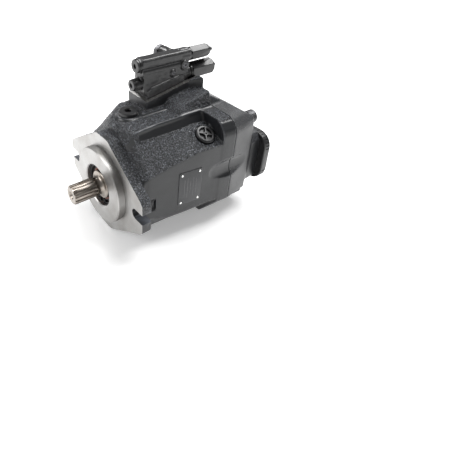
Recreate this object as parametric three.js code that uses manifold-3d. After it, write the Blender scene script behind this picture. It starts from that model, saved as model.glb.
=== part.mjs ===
// Variable displacement axial piston pump, swashplate type, with a two-bolt mounting flange.
// Millimetres. While modelling, the origin is the centre of the mounting face: -Y points out
// along the drive shaft, +X is the name plate side and +Z is the control valve side.
// The last line of the model moves the origin to the middle of the pump's footprint.
import * as THREE from 'three';
import { mergeVertices } from 'three/addons/utils/BufferGeometryUtils.js';
import Module from 'manifold-3d';

const wasm = await Module();
wasm.setup();

// ---------- driving dimensions ----------
const GAP = 0.3;                    // clearance between touching pieces
const BASE_Z = -69;                 // the pump stands on this level
const FLANGE_THICKNESS = 13.5;
const FLANGE_HALF_WIDTH = 87;
const PILOT_RADIUS = 50.8;
const PILOT_HEIGHT = 9.5;
const BOLT_OFFSET = 73;             // mounting bolts, half of the 146 mm spacing
const SLOT_WIDTH = 14.3;
const SEAM_Y = 140;                 // housing meets the port plate here
const GASKET = 0.6;
const PORT_PLATE_FRONT = SEAM_Y + 2 * GAP + GASKET;
const REAR_Y = 200;
const REAR_SLOPE = 0.59;            // fall of the port plate's top towards the rear
const REAR_SLOPE_TOP = 100;         // height of that slope at the seam
const BLOCK_FRONT = 178;            // the port block stands out behind this face
const SIDE_X = 85;                  // half width at the seam
const REAR_SIDE_X = 78;             // and where the port block starts
const FLANGE_SIDE_X = 82.9;         // and at the front of the rear flange
const SIDE_FLARE = Math.atan2(15, 126); // the sides open towards the rear
const COVER_THICKNESS = 12;

const SHAFT_TIP_Y = -45.9;
const SPLINE_RADIUS = 12.5;         // 15 teeth, 16/32 pitch, 1 inch nominal
const SPLINE_TEETH = 15;
const JOURNAL_RADIUS = 17.5;
const INNER_SHAFT_RADIUS = 13;
const REAR_JOURNAL_RADIUS = 10;
const SHAFT_END_Y = 160;

const TILT_Y = 72;                  // swashplate tilt axis, parallel to X through the shaft axis
const PISTONS = 9;
const PISTON_RADIUS = 8.75;
const BORE_CIRCLE = 32;             // radius of the circle of piston bores
const SHOE_CIRCLE = 32.8;           // radius of the circle of slippers, in the tilted plane
const BORE_RADIUS = PISTON_RADIUS + 0.95;
const BORE_SIDES = 12;
const BALL_RADIUS = 6.5;
const SHOE_HEIGHT = 9;              // running face to ball centre
const BARREL_RADIUS = 45.5;
const BARREL_FRONT = 89;
const BARREL_REAR = 137.4;
const VALVE_PLATE_Y = [BARREL_REAR + GAP, BARREL_REAR + GAP + 4];
const CRADLE_RADIUS = 38;
const CRADLE_X = [37.7, 47];
const CRADLE_HALF = 18;             // half height of each cradle
const CAVITY_RADIUS = 56;
const CAVITY_FRONT = 30;
const CONTROL_Z = 65;               // stroking piston axis
const CONTROL_RADIUS = 8;
const COUNTER_Z = -53.5;            // counter piston axis
const COUNTER_RADIUS = 4.2;
const NOSE_TOP = 6;                 // lever nose radii
const NOSE_BOTTOM = 5;

const SUCTION = { x: 50, z: 7, radius: 16, boltX: 15.1, boltZ: 29.35, width: 72, height: 73 };
const PRESSURE = { x: -48, z: 7, radius: 12.5, boltX: 13.1, boltZ: 26.2, width: 58, height: 66 };
const COVER_BOLTS = [[64, 70], [-64, 70], [56, -50], [-56, -50]];
const COVER_BOLT_RADIUS = 6;
const BOLT_SEAT_Y = BLOCK_FRONT;
const BOLT_END_Y = 126;
const REAR_FLANGE_Y = 122;          // front face of the housing's rear flange
const VALVE_X = -7.5;               // both spool bores
const UPPER_Z = 143;
const LOWER_Z = 120;
const SPOOL_RADIUS = 5;
const PAD_FRONT = 60;               // valve pad, inclined about X
const PAD_FRONT_TOP = 100.3;
const PAD_SLOPE = 0.2;
const DRAIN_PLUG = [0, 38, 87.4];   // seat of the plug on top
const DRAIN_PORT = [62.4, 107.5, 65.2];
const FACET_TILT = THREE.MathUtils.degToRad(60); // the drain port's axis above the horizontal
const BOSS_TOP = 0.6;               // drain port's sealing face above its origin
const PLATE_CENTRE = [77.5, 77.2, 9.9];
const WELD = 1e-4;                  // points closer than this are one point

// ---------- materials ----------
function finish(color, roughness, metalness) {
  return () => new THREE.MeshStandardMaterial({ color, roughness, metalness });
}
const castBlack = finish(0x26282a, 0.5, 0.3);
const valveBlack = finish(0x17181a, 0.35, 0.3);
const bareSteel = finish(0x8b8680, 0.35, 1.0);
const darkSteel = finish(0x3a3a3c, 0.4, 1.0);
const bronze = finish(0xb08a4a, 0.35, 1.0);
const springSteel = finish(0x5a5a5e, 0.4, 1.0);
const sealRubber = finish(0x1c1a18, 0.7, 0.0);
const gasketBlack = finish(0x111111, 0.9, 0.0);
const plastic = finish(0x0e0f10, 0.45, 0.0);
const plateGrey = finish(0x2a2c2e, 0.45, 0.4);

// ---------- solids ----------
function signedVolume(points, corners) {
  const [a, b, c] = [new THREE.Vector3(), new THREE.Vector3(), new THREE.Vector3()];
  let total = 0;
  for (let i = 0; i < corners.length; i += 3) {
    a.fromBufferAttribute(points, corners[i]);
    b.fromBufferAttribute(points, corners[i + 1]);
    c.fromBufferAttribute(points, corners[i + 2]);
    total += a.dot(b.cross(c));
  }
  return total;
}

// Turns a closed three.js geometry into a manifold solid with its faces outwards.
function solid(geometry) {
  const bare = geometry.clone();
  bare.deleteAttribute('normal');
  bare.deleteAttribute('uv');
  const merged = mergeVertices(bare, WELD);
  const points = merged.attributes.position;
  const corners = [];
  for (let i = 0; i < merged.index.count; i += 3) {
    const triangle = [0, 1, 2].map((k) => merged.index.getX(i + k));
    if (new Set(triangle).size === 3) {
      corners.push(...triangle);
    }
  }
  if (signedVolume(points, corners) < 0) {
    corners.reverse();
  }
  const mesh = new wasm.Mesh({
    numProp: 3,
    vertProperties: new Float32Array(points.array),
    triVerts: new Uint32Array(corners),
  });
  return new wasm.Manifold(mesh);
}

function geometryOf(manifold) {
  const mesh = manifold.getMesh();
  const geometry = new THREE.BufferGeometry();
  const positions = new Float32Array(mesh.numVert * 3);
  for (let i = 0; i < mesh.numVert; i += 1) {
    for (let k = 0; k < 3; k += 1) {
      positions[3 * i + k] = mesh.vertProperties[i * mesh.numProp + k];
    }
  }
  geometry.setAttribute('position', new THREE.BufferAttribute(positions, 3));
  geometry.setIndex(new THREE.BufferAttribute(new Uint32Array(mesh.triVerts), 1));
  return geometry;
}

const union = (...parts) => parts.reduce((sum, part) => sum.add(part));
const without = (part, ...cuts) => cuts.reduce((rest, cut) => rest.subtract(cut), part);

function shapeOf(outline, holes = []) {
  const shape = new THREE.Shape(outline.map(([u, v]) => new THREE.Vector2(u, v)));
  for (const hole of holes) {
    shape.holes.push(new THREE.Path(hole.map(([u, v]) => new THREE.Vector2(u, v))));
  }
  return shape;
}

function prism(outline, depth, holes) {
  return new THREE.ExtrudeGeometry(shapeOf(outline, holes), { depth, bevelEnabled: false });
}

// An outline of [x, z] points carried along Y.
function alongY(outline, y0, y1, holes) {
  return solid(prism(outline, y1 - y0, holes).rotateX(Math.PI / 2).translate(0, y1, 0));
}

// An outline of [y, z] points carried along X.
function alongX(outline, x0, x1) {
  return solid(prism(outline, x1 - x0).rotateX(Math.PI / 2).rotateZ(Math.PI / 2).translate(x0, 0, 0));
}

// An outline of [x, y] points carried along Z.
function alongZ(outline, z0, z1) {
  return solid(prism(outline, z1 - z0).translate(0, 0, z0));
}

// The solid between an outline at y0 and another with as many points at y1.
function loft(front, y0, rear, y1) {
  const geometry = prism(front, 1);
  const points = geometry.attributes.position;
  for (let i = 0; i < points.count; i += 1) {
    const [u, v] = [points.getX(i), points.getY(i)];
    const distance = ([a, b]) => (a - u) ** 2 + (b - v) ** 2;
    const nearest = front.reduce((best, p, k) => (distance(p) < distance(front[best]) ? k : best), 0);
    const far = points.getZ(i) > 0.5;
    const [x, z] = far ? rear[nearest] : front[nearest];
    points.setXYZ(i, x, far ? y1 : y0, z);
  }
  return solid(geometry);
}

const box = (x0, x1, y0, y1, z0, z1) => solid(
  new THREE.BoxGeometry(x1 - x0, y1 - y0, z1 - z0).translate((x0 + x1) / 2, (y0 + y1) / 2, (z0 + z1) / 2),
);

// Cylinders by radius, span and the centre in the two other directions.
function rodY(radius, y0, y1, x = 0, z = 0, sides = 16) {
  return solid(new THREE.CylinderGeometry(radius, radius, y1 - y0, sides).translate(x, (y0 + y1) / 2, z));
}
function rodX(radius, x0, x1, y = 0, z = 0, sides = 24) {
  const geometry = new THREE.CylinderGeometry(radius, radius, x1 - x0, sides).rotateZ(-Math.PI / 2);
  return solid(geometry.translate((x0 + x1) / 2, y, z));
}
function rodZ(radius, z0, z1, x = 0, y = 0, sides = 24) {
  const geometry = new THREE.CylinderGeometry(radius, radius, z1 - z0, sides).rotateX(Math.PI / 2);
  return solid(geometry.translate(x, y, (z0 + z1) / 2));
}
function ball(radius, x, y, z, sides = 20, scale = [1, 1, 1]) {
  const geometry = new THREE.SphereGeometry(radius, sides, sides / 2);
  return solid(geometry.scale(...scale).translate(x, y, z));
}

// A body of revolution about the Y axis from [radius, y] points; the outline closes by itself.
function turned(profile, sides = 32) {
  const points = profile.map(([r, y]) => new THREE.Vector2(r, y));
  if (profile[0][0] > 0) {
    points.push(points[0].clone());
  }
  return solid(new THREE.LatheGeometry(points, sides));
}

const mirrorX = (outline) => [...outline, ...outline.map(([x, z]) => [-x, z]).reverse()];

function arc(cx, cy, radius, from, to, steps) {
  return Array.from({ length: steps + 1 }, (_, i) => {
    const t = THREE.MathUtils.degToRad(from + ((to - from) * i) / steps);
    return [cx + radius * Math.cos(t), cy + radius * Math.sin(t)];
  });
}

function roundedBox(width, height, radius, cx = 0, cy = 0, steps = 4) {
  const [a, b] = [width / 2 - radius, height / 2 - radius];
  return [
    ...arc(cx + a, cy + b, radius, 0, 90, steps),
    ...arc(cx - a, cy + b, radius, 90, 180, steps),
    ...arc(cx - a, cy - b, radius, 180, 270, steps),
    ...arc(cx + a, cy - b, radius, 270, 360, steps),
  ];
}

const hexagon = (acrossFlats, cx = 0, cy = 0) => arc(cx, cy, acrossFlats / Math.sqrt(3), 30, 330, 5);

// A closed coil spring about the Y axis, from y0 to y1 outside to outside.
function coil(radius, wire, y0, y1, turns, stepsPerTurn = 8) {
  class Helix extends THREE.Curve {
    getPoint(t, target = new THREE.Vector3()) {
      const angle = t * turns * 2 * Math.PI;
      const y = THREE.MathUtils.lerp(y0 + wire / 2, y1 - wire / 2, t);
      return target.set(radius * Math.cos(angle), y, radius * Math.sin(angle));
    }
  }
  const section = shapeOf(arc(0, 0, wire / 2, 0, 270, 3));
  const steps = Math.round(turns * stepsPerTurn);
  return solid(new THREE.ExtrudeGeometry(section, { steps, extrudePath: new Helix() }));
}

// ---------- the assembly ----------
const pump = new THREE.Group();

function add(name, manifold, material, position = [0, 0, 0], rotation = [0, 0, 0], parent = pump) {
  const mesh = new THREE.Mesh(geometryOf(manifold), material());
  mesh.name = name;
  mesh.position.set(...position);
  mesh.rotation.set(...rotation);
  parent.add(mesh);
}

const circlePlace = (i, radius) => {
  const angle = (2 * Math.PI * i) / PISTONS + Math.PI / 2;
  return [radius * Math.cos(angle), radius * Math.sin(angle)];
};

// ---------- housing ----------
const flangeOutline = [
  [FLANGE_HALF_WIDTH, -20], [FLANGE_HALF_WIDTH, 20], [82, 25], [13, -BASE_Z],
  [-13, -BASE_Z], [-82, 25], [-FLANGE_HALF_WIDTH, 20], [-FLANGE_HALF_WIDTH, -20],
  [-82, -25], [-13, BASE_Z], [13, BASE_Z], [82, -25],
];
// Outlines of the rear flange and the port plate: the right half from the underside upwards,
// then the same mirrored.
const upperFlange = (x) => [[x, 68], [x - 2, 75], [x - 9, 83], [x - 16, 86.5], [38, 86.5]];
const flangeFrontOutline = mirrorX([
  [51, BASE_Z], [64, -53], [FLANGE_SIDE_X, -31], ...upperFlange(FLANGE_SIDE_X),
]);
const seamOutline = mirrorX([
  [52, BASE_Z], [66, -53], [SIDE_X, -31], ...upperFlange(SIDE_X),
]);
const plateRearOutline = mirrorX([
  [50, BASE_Z], [62, -53], [REAR_SIDE_X, -33], ...upperFlange(REAR_SIDE_X),
]);
// Body sections from front to rear, each with the same points: underside, right side, slanted
// facet, ridge, top, then down the left side.
const neckSection = [
  [30, -62], [56, -42], [68, -18], [68, 34], [34, 60], [30, 66],
  [-10, 70], [-38, 54], [-68, 26], [-68, -18], [-56, -42], [-30, -62],
];
const frontSection = [
  [32, -66], [59, -44], [71, -19], [71, 40.5], [43, 72], [38, 84],
  [-13, 84], [-47, 53], [-71, 30], [-71, -19], [-59, -44], [-32, -66],
];
const middleSection = [
  [32, -66], [53, -51], [74.3, -28], [74.3, 50], [44, 74], [38, 86],
  [-12, 88], [-42, 82], [-74.3, 44], [-74.3, -28], [-53, -51], [-32, -66],
];
const waistSection = [
  [34, -67], [50, -59], [78.8, -27], [78.8, 58.7], [45, 73], [38, 86],
  [-12, 88], [-42, 84], [-78.8, 54], [-78.8, -27], [-50, -59], [-34, -67],
];
const rearSection = [
  [36, -68], [50, -62], [84.5, -25], [84.5, 58.7], [45, 73], [38, 86],
  [-12, 88], [-42, 84], [-84.5, 54], [-84.5, -25], [-50, -62], [-36, -68],
];

// Open slot for a mounting bolt, with a pocket for the bolt's head behind the flange.
function flangeSlot(side) {
  const centre = side * BOLT_OFFSET;
  const outer = side * (FLANGE_HALF_WIDTH + 5);
  const [x0, x1] = [Math.min(centre, outer), Math.max(centre, outer)];
  const halfWidth = SLOT_WIDTH / 2;
  const pocket = { radius: 12.5, x: side * 80, rear: 30 };
  return union(
    rodY(halfWidth, -1, FLANGE_THICKNESS + 1, centre, 0, 16),
    box(x0, x1, -1, FLANGE_THICKNESS + 1, -halfWidth, halfWidth),
    rodY(pocket.radius, FLANGE_THICKNESS, pocket.rear, pocket.x, 0, 20),
  );
}

// The inclined pad under the control valve, with the ramp beside it.
const padTop = (y) => PAD_FRONT_TOP + PAD_SLOPE * (y - PAD_FRONT);
function valvePad() {
  const plan = [[-34, PAD_FRONT], [8, PAD_FRONT], [8, 124], [12, 134], [20, SEAM_Y], [-34, SEAM_Y]];
  const slope = alongX([
    [50, 60], [150, 60], [150, padTop(150)], [50, padTop(50)],
  ], -60, 60);
  const ramp = (ridge) => [[-44, 80], [-38, ridge], [31, ridge], [38, 84], [38, 80]];
  return union(
    alongZ(plan, 70, 140).intersect(slope).subtract(rodY(12.4, 123, SEAM_Y + 1, VALVE_X, LOWER_Z, 20)),
    loft(ramp(87), 84, ramp(96), 93),
    loft(ramp(96), 93, ramp(105), SEAM_Y),
  );
}

// Shallow channel across the seam on each side, shared by the housing and the port plate.
function sideScoop(side) {
  const [depth, height] = [5, 13.5];
  const [front, rear] = [112, 215];
  const [x, z] = [side * 84.5, 20];
  const channel = new THREE.CylinderGeometry(1, 1, rear - front, 16).scale(depth, 1, height);
  return union(
    solid(channel.translate(x, (front + rear) / 2, z)),
    ball(1, x, front + 1, z, 20, [depth - 0.1, height, height - 0.2]),
  );
}

const boltHoles = (y0, y1) => COVER_BOLTS.map(([x, z]) => (
  rodY(COVER_BOLT_RADIUS + GAP, y0, y1, x, z, 12)));

function cradleSeats() {
  const pads = [-1, 1].map((side) => {
    const [x0, x1] = side < 0 ? [-52, -37.4] : [37.4, 52];
    return box(x0, x1, CAVITY_FRONT - 1, 52, -36, 36);
  });
  return without(union(...pads).intersect(rodY(CAVITY_RADIUS + 1, 20, 60, 0, 0, 40)),
    rodX(CRADLE_RADIUS + 2.6, -60, 60, TILT_Y, 0, 48));
}

// Local frame of the drain port: +Y is its axis, out of the slanted facet.
function atDrainPort(geometry) {
  return geometry.rotateX(Math.PI / 2).rotateY(Math.PI / 2 - FACET_TILT).translate(...DRAIN_PORT);
}
function drainRod(radius, from, to, sides = 28) {
  const geometry = new THREE.CylinderGeometry(radius, radius, to - from, sides);
  return solid(atDrainPort(geometry.translate(0, (from + to) / 2, 0)));
}

function buildHousing() {
  const outside = union(
    alongY(flangeOutline, 0, FLANGE_THICKNESS),
    rodY(PILOT_RADIUS, -PILOT_HEIGHT, 1, 0, 0, 48),
    loft(neckSection, FLANGE_THICKNESS - 0.5, frontSection, 21),
    loft(frontSection, 21, middleSection, 50),
    loft(middleSection, 50, waistSection, 88),
    loft(waistSection, 88, rearSection, SEAM_Y),
    loft(flangeFrontOutline, REAR_FLANGE_Y, seamOutline, SEAM_Y),
    valvePad(),
    rodZ(15, 70, DRAIN_PLUG[2], DRAIN_PLUG[0], DRAIN_PLUG[1], 28),
    drainRod(15, -9, BOSS_TOP),
  );
  const inside = union(
    rodY(CAVITY_RADIUS, CAVITY_FRONT, SEAM_Y + 1, 0, 0, 36),
    box(-12, 12, 55, SEAM_Y + 1, 40, CONTROL_Z + 10),
    box(-9, 9, 45, SEAM_Y + 1, -63, -40),
    rodY(28, -PILOT_HEIGHT - 1, 5.3, 0, 0, 36),
    rodY(29.6, -4.3, -2.3, 0, 0, 36),
    rodY(23, 5, 9, 0, 0, 24),
    rodY(36 + GAP, 8, CAVITY_FRONT + 1, 0, 0, 36),
    rodZ(8.3, 60, 90, DRAIN_PLUG[0], DRAIN_PLUG[1], 20),
    rodZ(12.5, DRAIN_PLUG[2], 100, DRAIN_PLUG[0], DRAIN_PLUG[1], 24),
    drainRod(8.5, -37, 2, 20),
    drainRod(15.3, BOSS_TOP, 12, 24),
    ...boltHoles(BOLT_END_Y - 1, SEAM_Y + 1),
    sideScoop(1),
    sideScoop(-1),
    flangeSlot(1),
    flangeSlot(-1),
  );
  return union(without(outside, inside), cradleSeats());
}

// ---------- port plate ----------
function kidney(side, from, to, y0, y1, inner = 27.5, outer = 36.5) {
  const start = side > 0 ? from : 180 - to;
  const end = side > 0 ? to : 180 - from;
  return alongY([...arc(0, 0, outer, start, end, 8), ...arc(0, 0, inner, end, start, 8)], y0, y1);
}

function portCuts(port, side) {
  const bolts = [-1, 1].flatMap((i) => [-1, 1].map((k) => (
    rodY(4.2, REAR_Y - 18, REAR_Y + 1, port.x + i * port.boltX, port.z + k * port.boltZ, 8))));
  const turn = union(
    kidney(side, -58, 58, 141, 166),
    rodY(port.radius, 158, REAR_Y + 1, port.x, port.z, 24),
    box(Math.min(side * 30, port.x), Math.max(side * 30, port.x), 158.5, 165.5, port.z - 9, port.z + 9),
  );
  return union(turn, ...bolts);
}

function buildPortPlate() {
  const fall = (y) => REAR_SLOPE_TOP - REAR_SLOPE * (y - PORT_PLATE_FRONT);
  const underSlope = alongX([
    [130, -80], [BLOCK_FRONT, -80], [BLOCK_FRONT, fall(BLOCK_FRONT)], [130, fall(130)],
  ], -100, 100);
  const hump = [[-40, 80], [-33, REAR_SLOPE_TOP + 2], [30, REAR_SLOPE_TOP + 2], [37, 80]];
  const body = union(
    loft(seamOutline, PORT_PLATE_FRONT, plateRearOutline, BLOCK_FRONT),
    alongY(hump, PORT_PLATE_FRONT, BLOCK_FRONT),
  ).intersect(underSlope);
  const blockOutline = (x) => mirrorX([[x - 7, -31], [x, -22], [x, 36], [x - 7, 46]]);
  const block = loft(
    blockOutline(REAR_SIDE_X - 0.5), BLOCK_FRONT - 5, blockOutline(REAR_SIDE_X - 3), REAR_Y,
  );
  return without(
    union(body, block),
    ...boltHoles(SEAM_Y - 1, BLOCK_FRONT + 1),
    rodY(47, 139, VALVE_PLATE_Y[1] + GAP, 0, 0, 32),
    rodY(21 + GAP, 141, 162, 0, 0, 24),
    rodY(CONTROL_RADIUS + 0.4, 139, 175, 0, CONTROL_Z, 20),
    rodY(COUNTER_RADIUS + 0.4, 139, 174, 0, COUNTER_Z, 16),
    portCuts(SUCTION, 1),
    portCuts(PRESSURE, -1),
    sideScoop(1),
    sideScoop(-1),
  );
}

function buildGasket() {
  const sheet = alongY(seamOutline, SEAM_Y + GAP, SEAM_Y + GAP + GASKET);
  return without(
    sheet,
    rodY(CAVITY_RADIUS, 139, 142, 0, 0, 36),
    box(-12, 12, 139, 142, 40, CONTROL_Z + 10),
    box(-9, 9, 139, 142, -63, -40),
    ...boltHoles(SEAM_Y - 1, SEAM_Y + 2),
    sideScoop(1),
    sideScoop(-1),
  );
}

// A hex socket cap screw along -Y: its head's underside is at y = 0.
function capScrew(radius, length, headRadius, headHeight, key) {
  return without(
    union(rodY(radius, -length, 0.1, 0, 0, 16), rodY(headRadius, 0, headHeight, 0, 0, 20)),
    alongY(hexagon(key), headHeight * 0.4, headHeight + 1),
  );
}

add('pump_housing', buildHousing(), castBlack);
add('port_plate', buildPortPlate(), castBlack);
add('housing_gasket', buildGasket(), gasketBlack);
COVER_BOLTS.forEach(([x, z], i) => {
  const bolt = capScrew(COVER_BOLT_RADIUS, BOLT_SEAT_Y - BOLT_END_Y, 9, 12, 10);
  add(`cover_bolt_${i + 1}`, bolt, darkSteel, [x, BOLT_SEAT_Y + GAP, z]);
});

// ---------- shaft, bearings and seal ----------
function buildShaft() {
  const profile = [
    [0, SHAFT_TIP_Y], [SPLINE_RADIUS - 1.5, SHAFT_TIP_Y], [SPLINE_RADIUS, SHAFT_TIP_Y + 1.5],
    [SPLINE_RADIUS, -15], [11, -13.5], [11, -11], [12, -8.2], [14, -6.6], [17, -6],
    [18.7, -5.6], [18.7, -3.2],
    [JOURNAL_RADIUS, -3], [JOURNAL_RADIUS, 26.8], [20.5, 26.8], [20.5, 29.5], [INNER_SHAFT_RADIUS, 30.5],
    [INNER_SHAFT_RADIUS, 138.5], [REAR_JOURNAL_RADIUS, 139.5], [REAR_JOURNAL_RADIUS, SHAFT_END_Y - 1],
    [REAR_JOURNAL_RADIUS - 1, SHAFT_END_Y], [0, SHAFT_END_Y],
  ];
  const grooves = Array.from({ length: SPLINE_TEETH }, (_, i) => {
    const geometry = new THREE.BoxGeometry(1.9, 31, 3.2).translate(0, -31.5, SPLINE_RADIUS);
    return solid(geometry.rotateY((2 * Math.PI * i) / SPLINE_TEETH));
  });
  const threadRadius = 3.4;
  const [mouth, floor] = [SHAFT_TIP_Y - 0.5, SHAFT_TIP_Y + 3];
  return without(
    turned(profile, 30),
    rodY(threadRadius, SHAFT_TIP_Y - 1, SHAFT_TIP_Y + 22, 0, 0, 10),
    turned([[0, mouth], [5.6, mouth], [threadRadius, floor], [0, floor]], 10),
    ...grooves,
  );
}

// Tapered roller bearing: the cup stays in the casting, the cone and rollers turn with the shaft.
function bearingCup(outer, y0, y1, small, large) {
  return turned([[small, y0], [outer, y0], [outer, y1], [large, y1]], 24);
}
function bearingCone(inner, y0, y1, small, large, rollers) {
  const ring = turned([
    [inner, y0], [small - 3, y0], [large - 4, y1 - 2], [inner, y1],
  ], 20);
  const pieces = Array.from({ length: rollers }, (_, i) => {
    const tilt = Math.atan2(large - small, y1 - y0);
    const length = (y1 - y0) * 0.7;
    const geometry = new THREE.CylinderGeometry(2.7, 2.3, length, 6).rotateX(tilt);
    geometry.translate(0, (y0 + y1) / 2 - 0.6, (small + large) / 2 - 3.6);
    return solid(geometry.rotateY((2 * Math.PI * i) / rollers));
  });
  return union(ring, ...pieces);
}

add('drive_shaft', buildShaft(), bareSteel);
add('front_bearing_cup', bearingCup(36, 8.3, 25, 28.5, 32), bareSteel);
add('front_bearing_cone', bearingCone(JOURNAL_RADIUS + GAP, 8.6, 26.4, 28.2, 31.6, 10), bareSteel);
add('rear_bearing_cup', bearingCup(21, 142.6, 156.5, 17.8, 16.2), bareSteel);
add('rear_bearing_cone', bearingCone(REAR_JOURNAL_RADIUS + GAP, 142.4, 156, 17, 17.4, 8), bareSteel);
add('shaft_seal', turned([
  [JOURNAL_RADIUS + GAP, 2], [JOURNAL_RADIUS + GAP, 0], [19.5, -2], [27.7, -2], [27.7, 5], [21, 5],
], 28), sealRubber);
add('seal_circlip', without(
  turned([[25.4, -3.9], [29.2, -3.9], [29.2, -2.6], [25.4, -2.6]], 28),
  box(-4, 4, -5, -1, -31, -20),
), darkSteel);

// ---------- rotating group ----------
function buildBarrel() {
  const bore = BORE_RADIUS / Math.cos(Math.PI / BORE_SIDES);
  const cylinder = turned([
    [INNER_SHAFT_RADIUS + 0.6, BARREL_REAR], [INNER_SHAFT_RADIUS + 0.6, 118],
    [19.5, 118], [19.5, BARREL_FRONT],
    [BARREL_RADIUS - 1.5, BARREL_FRONT], [BARREL_RADIUS, BARREL_FRONT + 1.5],
    [BARREL_RADIUS, BARREL_REAR - 5], [BARREL_RADIUS - 3, BARREL_REAR],
  ], 36);
  const cuts = Array.from({ length: PISTONS }, (_, i) => {
    const [x, z] = circlePlace(i, BORE_CIRCLE);
    return union(
      rodY(bore, BARREL_FRONT - 1, 130, x, z, BORE_SIDES),
      rodY(4.6, 129, BARREL_REAR + 1, x, z, 6),
    );
  });
  return without(cylinder, ...cuts);
}

// Piston about its ball centre, reaching towards +Y.
function buildPiston() {
  const length = 46.5;
  const neck = 4.3;
  const profile = [
    ...arc(0, 0, BALL_RADIUS, -90, 46, 4), [neck, 7.5], [PISTON_RADIUS, 12],
    [PISTON_RADIUS, length], [0, length],
  ];
  return turned(profile, 12);
}

// Slipper about its ball centre, running face towards -Y.
function buildSlipper() {
  const socket = BALL_RADIUS + GAP;
  const profile = [
    [0, -SHOE_HEIGHT], [10.4, -SHOE_HEIGHT], [10.4, -6.6], [8.1, -6.6], [8.1, 3],
    ...arc(0, 0, socket, 26.5, -90, 4),
  ];
  return turned(profile, 12);
}

function buildRetainer() {
  const [front, rear] = [-6, -3];
  const seatRadius = 20.4;
  const seatAt = (y) => [Math.sqrt(seatRadius ** 2 - y ** 2), y];
  const disc = turned([seatAt(rear), [46, rear], [46, front], seatAt(front)], 30);
  const holes = Array.from({ length: PISTONS }, (_, i) => {
    const [x, z] = circlePlace(i, SHOE_CIRCLE);
    return rodY(9, front - 1, rear + 1, x, z, 12);
  });
  return without(disc, ...holes);
}

// Swashplate about the tilt axis, with its two cradles and the two lever noses.
function buildSwashplate() {
  const face = -SHOE_HEIGHT - GAP;
  const back = face - 14;
  const cradleBlock = (side) => {
    const [x0, x1] = side > 0 ? CRADLE_X : CRADLE_X.map((x) => -x).reverse();
    const block = box(x0 - 1, x1 + 1, -60, face, -CRADLE_HALF, CRADLE_HALF);
    return rodX(CRADLE_RADIUS, x0, x1, 0, 0, 40).intersect(block);
  };
  const lever = (z, nose, sign) => union(
    rodX(nose, -7, 7, 0, z, 16),
    alongX([
      [face - 8, sign * 30], [face, sign * 30], [face, sign * 46], [nose * 0.6, z - sign * nose * 0.6],
      [-nose, z + sign * nose * 0.3], [face - 8, sign * 52],
    ], -7, 7),
  );
  const hole = (x, z) => roundedBox(2 * x, 2 * z, x - 0.5, 0, 0, 6);
  const plate = turned([[0, back], [44, back], [47, back + 4], [47, face], [0, face]], 48);
  const levers = [lever(CONTROL_Z - 1, NOSE_TOP, 1), lever(COUNTER_Z, NOSE_BOTTOM, -1)];
  return without(
    union(plate, cradleBlock(1), cradleBlock(-1), ...levers),
    loft(hole(21.5, 25), back - 1, hole(21.5, 21.6), face + 1),
  );
}

function cradleBearing(side) {
  const [x0, x1] = side > 0 ? CRADLE_X : CRADLE_X.map((x) => -x).reverse();
  const ring = without(
    rodX(CRADLE_RADIUS + 2.3, x0, x1, 0, 0, 48),
    rodX(CRADLE_RADIUS + GAP, x0 - 1, x1 + 1, 0, 0, 48),
  );
  return ring.intersect(box(x0 - 1, x1 + 1, -60, -28, -22, 22));
}

add('cylinder_barrel', buildBarrel(), bareSteel);
const [valvePlateFront, valvePlateRear] = VALVE_PLATE_Y;
add('valve_plate', without(
  turned([[18, valvePlateFront], [46, valvePlateFront], [46, valvePlateRear], [18, valvePlateRear]], 32),
  kidney(1, -58, 58, 130, 145),
  kidney(-1, -58, 58, 130, 145),
), bronze);
add('barrel_spring', coil(16.3, 2.4, 92.6, 117.6, 4), springSteel);
add('guide_ball', turned([
  [INNER_SHAFT_RADIUS + 0.5, -9], ...arc(0, 0, 20, -26, 32, 4), [17, 20], [INNER_SHAFT_RADIUS + 0.5, 20],
], 28), bareSteel, [0, TILT_Y, 0]);
add('retainer_plate', buildRetainer(), darkSteel, [0, TILT_Y, 0]);
add('swashplate', buildSwashplate(), bareSteel, [0, TILT_Y, 0]);
add('cradle_bearing_right', cradleBearing(1), bronze, [0, TILT_Y, 0]);
add('cradle_bearing_left', cradleBearing(-1), bronze, [0, TILT_Y, 0]);
for (let i = 0; i < PISTONS; i += 1) {
  const [x, z] = circlePlace(i, SHOE_CIRCLE);
  add(`piston_${i + 1}`, buildPiston(), bareSteel, [x, TILT_Y, z]);
  add(`slipper_${i + 1}`, buildSlipper(), bronze, [x, TILT_Y, z]);
}

// ---------- displacement control ----------
const noseGap = 0.4;                // between a lever's nose and its piston
const counterHead = 3;              // thickness of the counter piston's head
const counterY = TILT_Y + NOSE_BOTTOM + noseGap;
add('control_piston', turned([
  [0, 0], [6.5, 0], [CONTROL_RADIUS, 2], [CONTROL_RADIUS, 71], [0, 71],
], 20), bareSteel, [0, TILT_Y + NOSE_TOP + noseGap, CONTROL_Z]);
add('counter_piston', turned([
  [0, 0], [7.3, 0], [7.3, counterHead], [COUNTER_RADIUS, counterHead], [COUNTER_RADIUS, 92], [0, 92],
], 16), bareSteel, [0, counterY, COUNTER_Z]);
add('counter_spring', coil(6.3, 1.9, counterY + counterHead + noseGap, PORT_PLATE_FRONT - GAP, 6),
  springSteel, [0, 0, COUNTER_Z]);

// ---------- control valve ----------
// Each stage is a spool on its own axis, with a plug at the front face and an adjuster at the rear.
const UPPER_STAGE = {
  z: UPPER_Z, front: 55.5, rear: 131, plugRadius: 8.4, hex: 14, hexLength: 35, screwTip: 41.3,
};
const LOWER_STAGE = {
  z: LOWER_Z, front: 50, rear: 133, plugRadius: 7.2, hex: 19, hexLength: 42, screwTip: 48,
};
const SPOOL_LENGTH = 50;
const SPOOL_TRAVEL = 3;
const VALVE_PORT = { y: 109, z: 142 };  // side port, along X

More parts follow.
